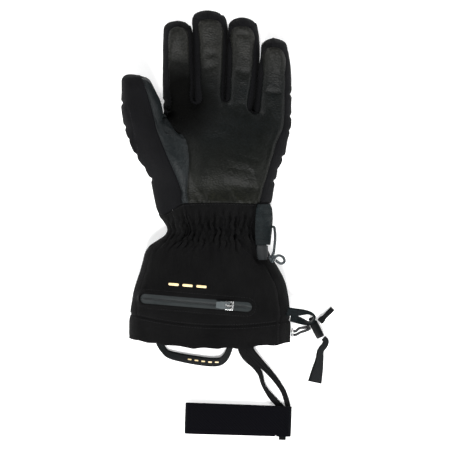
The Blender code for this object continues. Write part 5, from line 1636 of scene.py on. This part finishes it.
def knot_piece():
    """The keeper cord's knot: one loop of cord passed through itself, where its solid is."""
    low, high = (Vector(v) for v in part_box("keeper_knot"))
    reach = (high - low) / 2
    radius = reach.z * 0.40
    loop = []
    for t in np.linspace(0, 2 * math.pi, 90, endpoint=False):
        loop.append(((math.sin(t) + 2 * math.sin(2 * t)) / 2.6 * (reach.x - radius / 2),
                     (math.cos(t) - 2 * math.cos(2 * t)) / 2.6 * (reach.y - radius / 2),
                     -math.sin(3 * t) * (reach.z - radius)))
    return mesh_piece("keeper_knot_look", *tube(np.array(loop) + (low + high) / 2, radius), 60)


def crumple(obj, lines, wrinkles, scale=0.006):
    """Creases a flat strap from above. lines are as in FRONT_FOLDS; wrinkles is a depth in millimetres."""
    co = coordinates(obj.data)
    rise = wrinkles * np.array([noise.noise(Vector(p) / scale) for p in co])
    for x0, y0, x1, y1, height, width in lines:
        rise += height * line_field(co[:, 0] / MM, co[:, 1] / MM, x0, y0, x1, y1, width)
    co[:, 2] += rise * MM * fade(vertex_normals(obj.data)[:, 2], 0.1, 0.6)
    obj.data.vertices.foreach_set("co", co.ravel())
    obj.data.update()
    return obj


def tuck_end(obj, reach, widen):
    """Draws the low end of a strap on, into what holds it, and widens it there. Both in metres."""
    co = coordinates(obj.data)
    low = co[:, 1].min()
    share = 1 - fade(co[:, 1], low, low + 14 * MM)
    centre = co[co[:, 1] < low + 3 * MM, 0].mean()
    co[:, 1] -= reach * share
    co[:, 0] += np.sign(co[:, 0] - centre) * widen / 2 * share
    obj.data.vertices.foreach_set("co", co.ravel())
    obj.data.update()
    return obj


def seam_stitches(skin):
    """The rows of stitches beside the seams, those on the leather and those on the cloth."""
    distance = skin.seam_distance
    x, y = skin.co[:, 0], skin.co[:, 1]
    leather_rows = contour(skin, ["palm_leather"], distance - 1.4 * MM)
    leather_rows += contour(skin, ["thumb_leather"], distance - 1.3 * MM)
    rows = contour(skin, ["cuff_front"], np.where(y > -0.058, distance - 1.7 * MM, 1.0))
    rows += contour(skin, ["hem_band"], np.where(y > -0.166, distance - 2.2 * MM, 1.0))
    rows += contour(skin, ["cuff_front"], np.where(y < -0.140, distance - 1.6 * MM, 1.0))
    return [joined([stitch_run(*row) for row in some]) for some in (leather_rows, rows)]


def finish_piece(obj, material, node, body="glove"):
    """Paints a piece, lets it ride on its body, and lets it stand for its CAD node."""
    obj.data.materials.clear()
    obj.data.materials.append(material)
    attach(obj, body)
    if node:
        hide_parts(node)


def repaint(node, material):
    """Gives a CAD node that stays its procedural material."""
    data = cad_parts[node].data
    data.materials.clear()
    data.materials.append(material)


def camera():
    """A long lens straight above the glove, framed as in the photograph."""
    data = bpy.data.cameras.new("camera")
    data.lens = 200.0
    data.sensor_width = 36.0
    obj = bpy.data.objects.new("camera", data)
    bpy.context.scene.collection.objects.link(obj)
    away = VIEW_WIDTH * data.lens / data.sensor_width
    obj.location = (VIEW_CENTRE[0], VIEW_CENTRE[1], away + 0.020)
    bpy.context.scene.camera = obj


def area_light(name, place, target, size, power):
    """A round white light. Its size is in metres and its power in watts."""
    data = bpy.data.lights.new(name, "AREA")
    data.shape = "DISK"
    data.size = size
    data.energy = power
    obj = bpy.data.objects.new(name, data)
    bpy.context.scene.collection.objects.link(obj)
    obj.location = place
    obj.rotation_euler = (Vector(target) - Vector(place)).to_track_quat("-Z", "Y").to_euler()


def studio():
    """A pale floor, a sky that is brighter low down, a light from below the cuff and two from the sides."""
    mesh = bpy.data.meshes.new("floor")
    mesh.from_pydata([(-4, -4, 0), (4, -4, 0), (4, 4, 0), (-4, 4, 0)], [], [(0, 1, 2, 3)])
    floor = bpy.data.objects.new("floor", mesh)
    floor.location.z = -0.0005
    bpy.context.scene.collection.objects.link(floor)
    shade = Shade("floor", 0.9, specular=0.1)
    shade.colour(shade.mix(shade.noise(0.8, 2.0), (0.90, 0.90, 0.90), (0.94, 0.94, 0.94)))
    shade.shader.inputs["Emission Color"].default_value = (1.0, 1.0, 1.0, 1.0)
    shade.shader.inputs["Emission Strength"].default_value = 0.24
    floor.data.materials.append(shade.material)
    world = bpy.data.worlds.new("studio")
    world.use_nodes = True
    nodes, links = world.node_tree.nodes, world.node_tree.links
    nodes["Background"].inputs["Color"].default_value = (1.0, 1.0, 1.0, 1.0)
    height = nodes.new("ShaderNodeSeparateXYZ")
    links.new(nodes.new("ShaderNodeTexCoord").outputs["Generated"], height.inputs["Vector"])
    bright = nodes.new("ShaderNodeMapRange")
    bright.interpolation_type = "SMOOTHSTEP"
    bright.inputs["From Min"].default_value = 0.36
    bright.inputs["From Max"].default_value = 0.64
    bright.inputs["To Min"].default_value = 3.0
    bright.inputs["To Max"].default_value = 0.04
    links.new(height.outputs["Z"], bright.inputs["Value"])
    links.new(bright.outputs["Result"], nodes["Background"].inputs["Strength"])
    bpy.context.scene.world = world
    area_light("key", (-0.05, -0.76, 1.16), (0.0, 0.0, 0.0), 0.46, 25.0)
    area_light("side", (0.95, 0.10, 0.75), (0.0, 0.02, 0.0), 0.40, 6.0)
    area_light("rim", (-0.85, 0.35, 0.65), (0.0, 0.02, 0.0), 0.35, 6.0)
    bpy.context.scene.view_settings.view_transform = "Standard"


def skin_of_glove():
    """The whole skin of the glove, padded, creased, pleated and pressed under what lies on it."""
    mesh = smooth_through(*cage_mesh(glove_surface()), SKIN_LEVELS)
    skin = Skin(mesh)
    bpy.data.meshes.remove(mesh)
    blunt_tips(skin)
    round_leather_tops(skin)
    draw_seams(skin, (("thumb_leather", "palm_leather", THUMB_PALM_SEAM),
                      ("thumb_shell", "thumb_leather", THUMB_SHELL_SEAM)))
    bend_wrist_seam(skin)
    skin.measure_seams()
    skin.smooth_normal = skin.normal.copy()
    fields = (padding_field, folds_field, quilting_field, gathers_field, soft_sag, close_slots)
    rise = sum(field(skin) for field in fields)
    skin.co += skin.normal * rise[:, None]
    skin.co[:, 2] = np.maximum(skin.co[:, 2], 0.0002)
    hem = fade(-skin.co[:, 1], 0.160, 0.1725)
    skin.co[:, 1] += (skin.noise(0.015, 31) * 2.2 + skin.noise(0.006, 32) * 0.6) * MM * hem
    skin.normal = skin.normals()
    for node in ("zip_tape", "wrist_strap", "strap_tip", "keeper_cord", "keeper_knot"):
        press_under(skin, node)
    skin.normal = skin.normals()
    return skin


def gold_marks(cuff, gold):
    """The plain gold bars on the cuff and dashes on the pull-on loop."""
    bars = plates(cuff, [(*bar, GOLD_BAR_SLOPE) for bar in GOLD_BARS])
    finish_piece(mesh_piece("cuff_marks", *bars), gold, None)
    loop = node_relief("pull_on_loop")
    low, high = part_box("pull_on_loop")
    dashes = []
    for x in LOOP_DASHES:
        across = [y for y in np.arange(low.y, high.y, 0.2 * MM)
                  if loop.tree.ray_cast(Vector((x * MM, y, 0.2)), Vector((0, 0, -1)))[0] is not None]
        dashes.append((x, np.mean(across) / MM))
    ends = [dashes[max(k - 1, 0)] + dashes[min(k + 1, len(dashes) - 1)] for k in range(len(dashes))]
    turns = [math.atan2(y1 - y0, x1 - x0) for x0, y0, x1, y1 in ends]
    items = [(*place, *LOOP_DASH, turn) for place, turn in zip(dashes, turns)]
    finish_piece(mesh_piece("loop_marks", *plates(loop, items, 0.35 * MM)), gold, None)


def slider_inlay(paint):
    """A dark plate on the slider, laid level over its plate so that its middle is dark inside the metal rim.
    """
    slider = node_relief("zip_slider")
    low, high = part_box("zip_slider")
    x, y = (low.x + high.x) / 2, (low.y + high.y) / 2
    top = min(slider.at(low.x + 1.5 * MM, y)[0], slider.at(high.x - 1.5 * MM, y)[0])
    level = Relief([(u, v, top) for u, v in ((-1, -1), (1, -1), (1, 1), (-1, 1))], [(0, 1, 2, 3)])
    plate = plates(level, [(x / MM, y / MM, *INLAY, ZIP_SLOPE)], 0.16 * MM)
    finish_piece(mesh_piece("slider_inlay", *plate), paint, None)


def materials():
    """The material of each slot."""
    rows = (
        # The palm leather's tints carry painted light and shade, and its last number sets the painted shade
        # in the hollow beside the thumb.
        ("palm_leather", leather, (0.0064, 0.0067, 0.0043), (0.0021, 0.0031, 0.0033),
         (0.0015, 0.0018, 0.0014), 0.97),
        ("thumb_leather", leather, (0.0086, 0.0108, 0.0115), (0.0074, 0.0094, 0.0100),
         (0.0035, 0.0046, 0.0051)),
        ("shell_fabric", weave, (0.0039, 0.0040, 0.0046), (0.0025, 0.0025, 0.0029)),
        ("cuff_fabric", weave, (0.0033, 0.0033, 0.0034), (0.0012, 0.0012, 0.0013), 0.7),
        ("zip_tape", moulded, (0.0105, 0.0130, 0.0135), (0.0130, 0.0158, 0.0165), 0.46, 0.16),
        ("zip_coil", moulded, (0.0055, 0.0065, 0.0070), (0.0100, 0.0120, 0.0130), 0.45, 0.22),
        ("bright_metal", metal, (0.66, 0.66, 0.65), (0.50, 0.51, 0.52)),
        ("zip_pull", moulded, (0.040, 0.048, 0.050), (0.060, 0.070, 0.072), 0.5, 0.2),
        ("strap_nylon", leather, (0.0045, 0.0074, 0.0082), (0.0045, 0.0074, 0.0082),
         (0.0010, 0.0018, 0.0021), 0.0, 0.045),
        ("moulded_grey", moulded, (0.0050, 0.0062, 0.0068), (0.0080, 0.0098, 0.0105), 0.40, 0.12),
        ("keeper_cord", braid, (0.022, 0.031, 0.034), (0.006, 0.008, 0.010), (0.09, 0.11, 0.115)),
        ("drawcord", braid, (0.008, 0.0085, 0.009), (0.003, 0.003, 0.0035), (0.09, 0.095, 0.10)),
        ("moulded_black", moulded, (0.0020, 0.0022, 0.0024), (0.0044, 0.0048, 0.0053), 0.36, 0.07),
        ("ribbon", woven_strap, (0.0058, 0.0069, 0.0074), (0.0030, 0.0036, 0.0039), 0.0010, 0.6, 0.09),
        ("webbing", woven_strap, (0.0032, 0.0032, 0.0035), (0.0016, 0.0016, 0.0018), 0.0014, 0.6, 0.05),
        ("elastic", woven_strap, (0.0018, 0.0018, 0.0028), (0.0010, 0.0010, 0.0016), 0.0016, 0.9, 0.03),
        ("gold_foil", moulded, (0.70, 0.54, 0.29), (0.50, 0.38, 0.20), 0.35, 0.4),
        ("thread", woven_strap, (0.0100, 0.0100, 0.0106), (0.0060, 0.0060, 0.0065), 0.0005, 0.6, 0.08),
        ("black_thread", woven_strap, (0.0030, 0.0030, 0.0033), (0.0020, 0.0020, 0.0022), 0.0005, 0.7, 0.04),
        ("pale_thread", moulded, (0.55, 0.55, 0.54), (0.40, 0.40, 0.40), 0.7, 0.1),
    )
    return {name: make(name, *values) for name, make, *values in rows}


def sew(paints, skin, cuff, tape):
    """The glove's panels with the cloth folded round the zip, the strap at its wrist and all the stitches."""
    welt, welt_line = zip_welt(tape, cuff)
    strap = crumple(refined("wrist_strap", "wrist_strap_look", levels=3), STRAP_FOLDS, 0.45)
    finish_piece(strap, paints["strap_nylon"], "wrist_strap")
    on_leather, on_cloth = seam_stitches(skin)
    finish_piece(mesh_piece("leather_stitches", *on_leather), paints["black_thread"], None)
    lines = [welt_line, cuff.path(THUMB_STITCHES), cuff.path(HEM_STITCHES)]
    threads = [on_cloth, *(stitch_run(*line) for line in lines)]
    threads.append(stitch_run(*mesh_relief(strap.data).path(STRAP_SEAM), 1.9 * MM, 1.3 * MM, 0.16 * MM))
    finish_piece(mesh_piece("stitches", *joined(threads)), paints["thread"], None)
    for name, slot, *_ in PANEL_ROWS:
        wall = CUFF_WALL if name.startswith(("cuff", "hem")) else HAND_WALL
        shape = panel_wall(skin, name, wall - WALL_SLACK)
        if name == "cuff_front":
            shape = joined([shape, welt])
        finish_piece(mesh_piece(name + "_skin", *shape, 55), paints[slot], name)


def dress():
    """All the pieces and their materials."""
    paints = materials()
    skin = skin_of_glove()
    cuff = Relief(skin.co.tolist(), skin.quads.tolist())
    tape = node_relief("zip_tape")
    sew(paints, skin, cuff, tape)
    finish_piece(zip_tape_piece(tape), paints["zip_tape"], "zip_tape")
    finish_piece(zip_coil_piece(tape), paints["zip_coil"], "zip_coil")
    finish_piece(knot_piece(), paints["keeper_cord"], "keeper_knot")
    pieces = (
        # node, slot, swell
        ("keeper_cord", "keeper_cord", 0.40),
        ("keeper_loop", "keeper_cord", 0.40),
        ("drawcord_upper", "drawcord", 0.30),
        ("drawcord_lower", "drawcord", 0.30),
        ("cord_end", "moulded_black", 0.0),
        ("anchor_ribbon", "strap_nylon", 0.0),
        ("tail_ribbon", "ribbon", 0.0),
        ("pull_on_loop", "ribbon", 0.0),
        ("band_tab", "webbing", 0.0),
    )
    for node, slot, swell in pieces:
        finish_piece(refined(node, node + "_look", swell=swell * MM), paints[slot], node)
    for node in ("leash_left", "leash_right"):
        leash = tuck_end(refined(node, node + "_look"), 5 * MM, 1.2 * MM)
        finish_piece(leash, paints["webbing"], node)
    band = crumple(refined("wrist_band", "wrist_band_look", 3, 0.6 * MM), (), 0.45, 0.02)
    finish_piece(band, paints["elastic"], "wrist_band")
    tack = plates(mesh_relief(band.data), [BAND_TACK], 0.5 * MM)
    finish_piece(mesh_piece("band_tack", *tack), paints["pale_thread"], None)
    slider_inlay(paints["moulded_black"])
    gold_marks(cuff, paints["gold_foil"])
    for node, slot in (("strap_tip", "moulded_grey"), ("lock_body", "moulded_black")):
        piece = refined(node, node + "_look", levels=1, bevel=0.5 * MM)
        finish_piece(piece, paints[slot], node)
    for node, slot in (("zip_slider", "bright_metal"), ("zip_pull", "zip_pull"), ("eyelet", "bright_metal"),
                       ("lock_button", "moulded_black")):
        repaint(node, paints[slot])


camera()
studio()
dress()
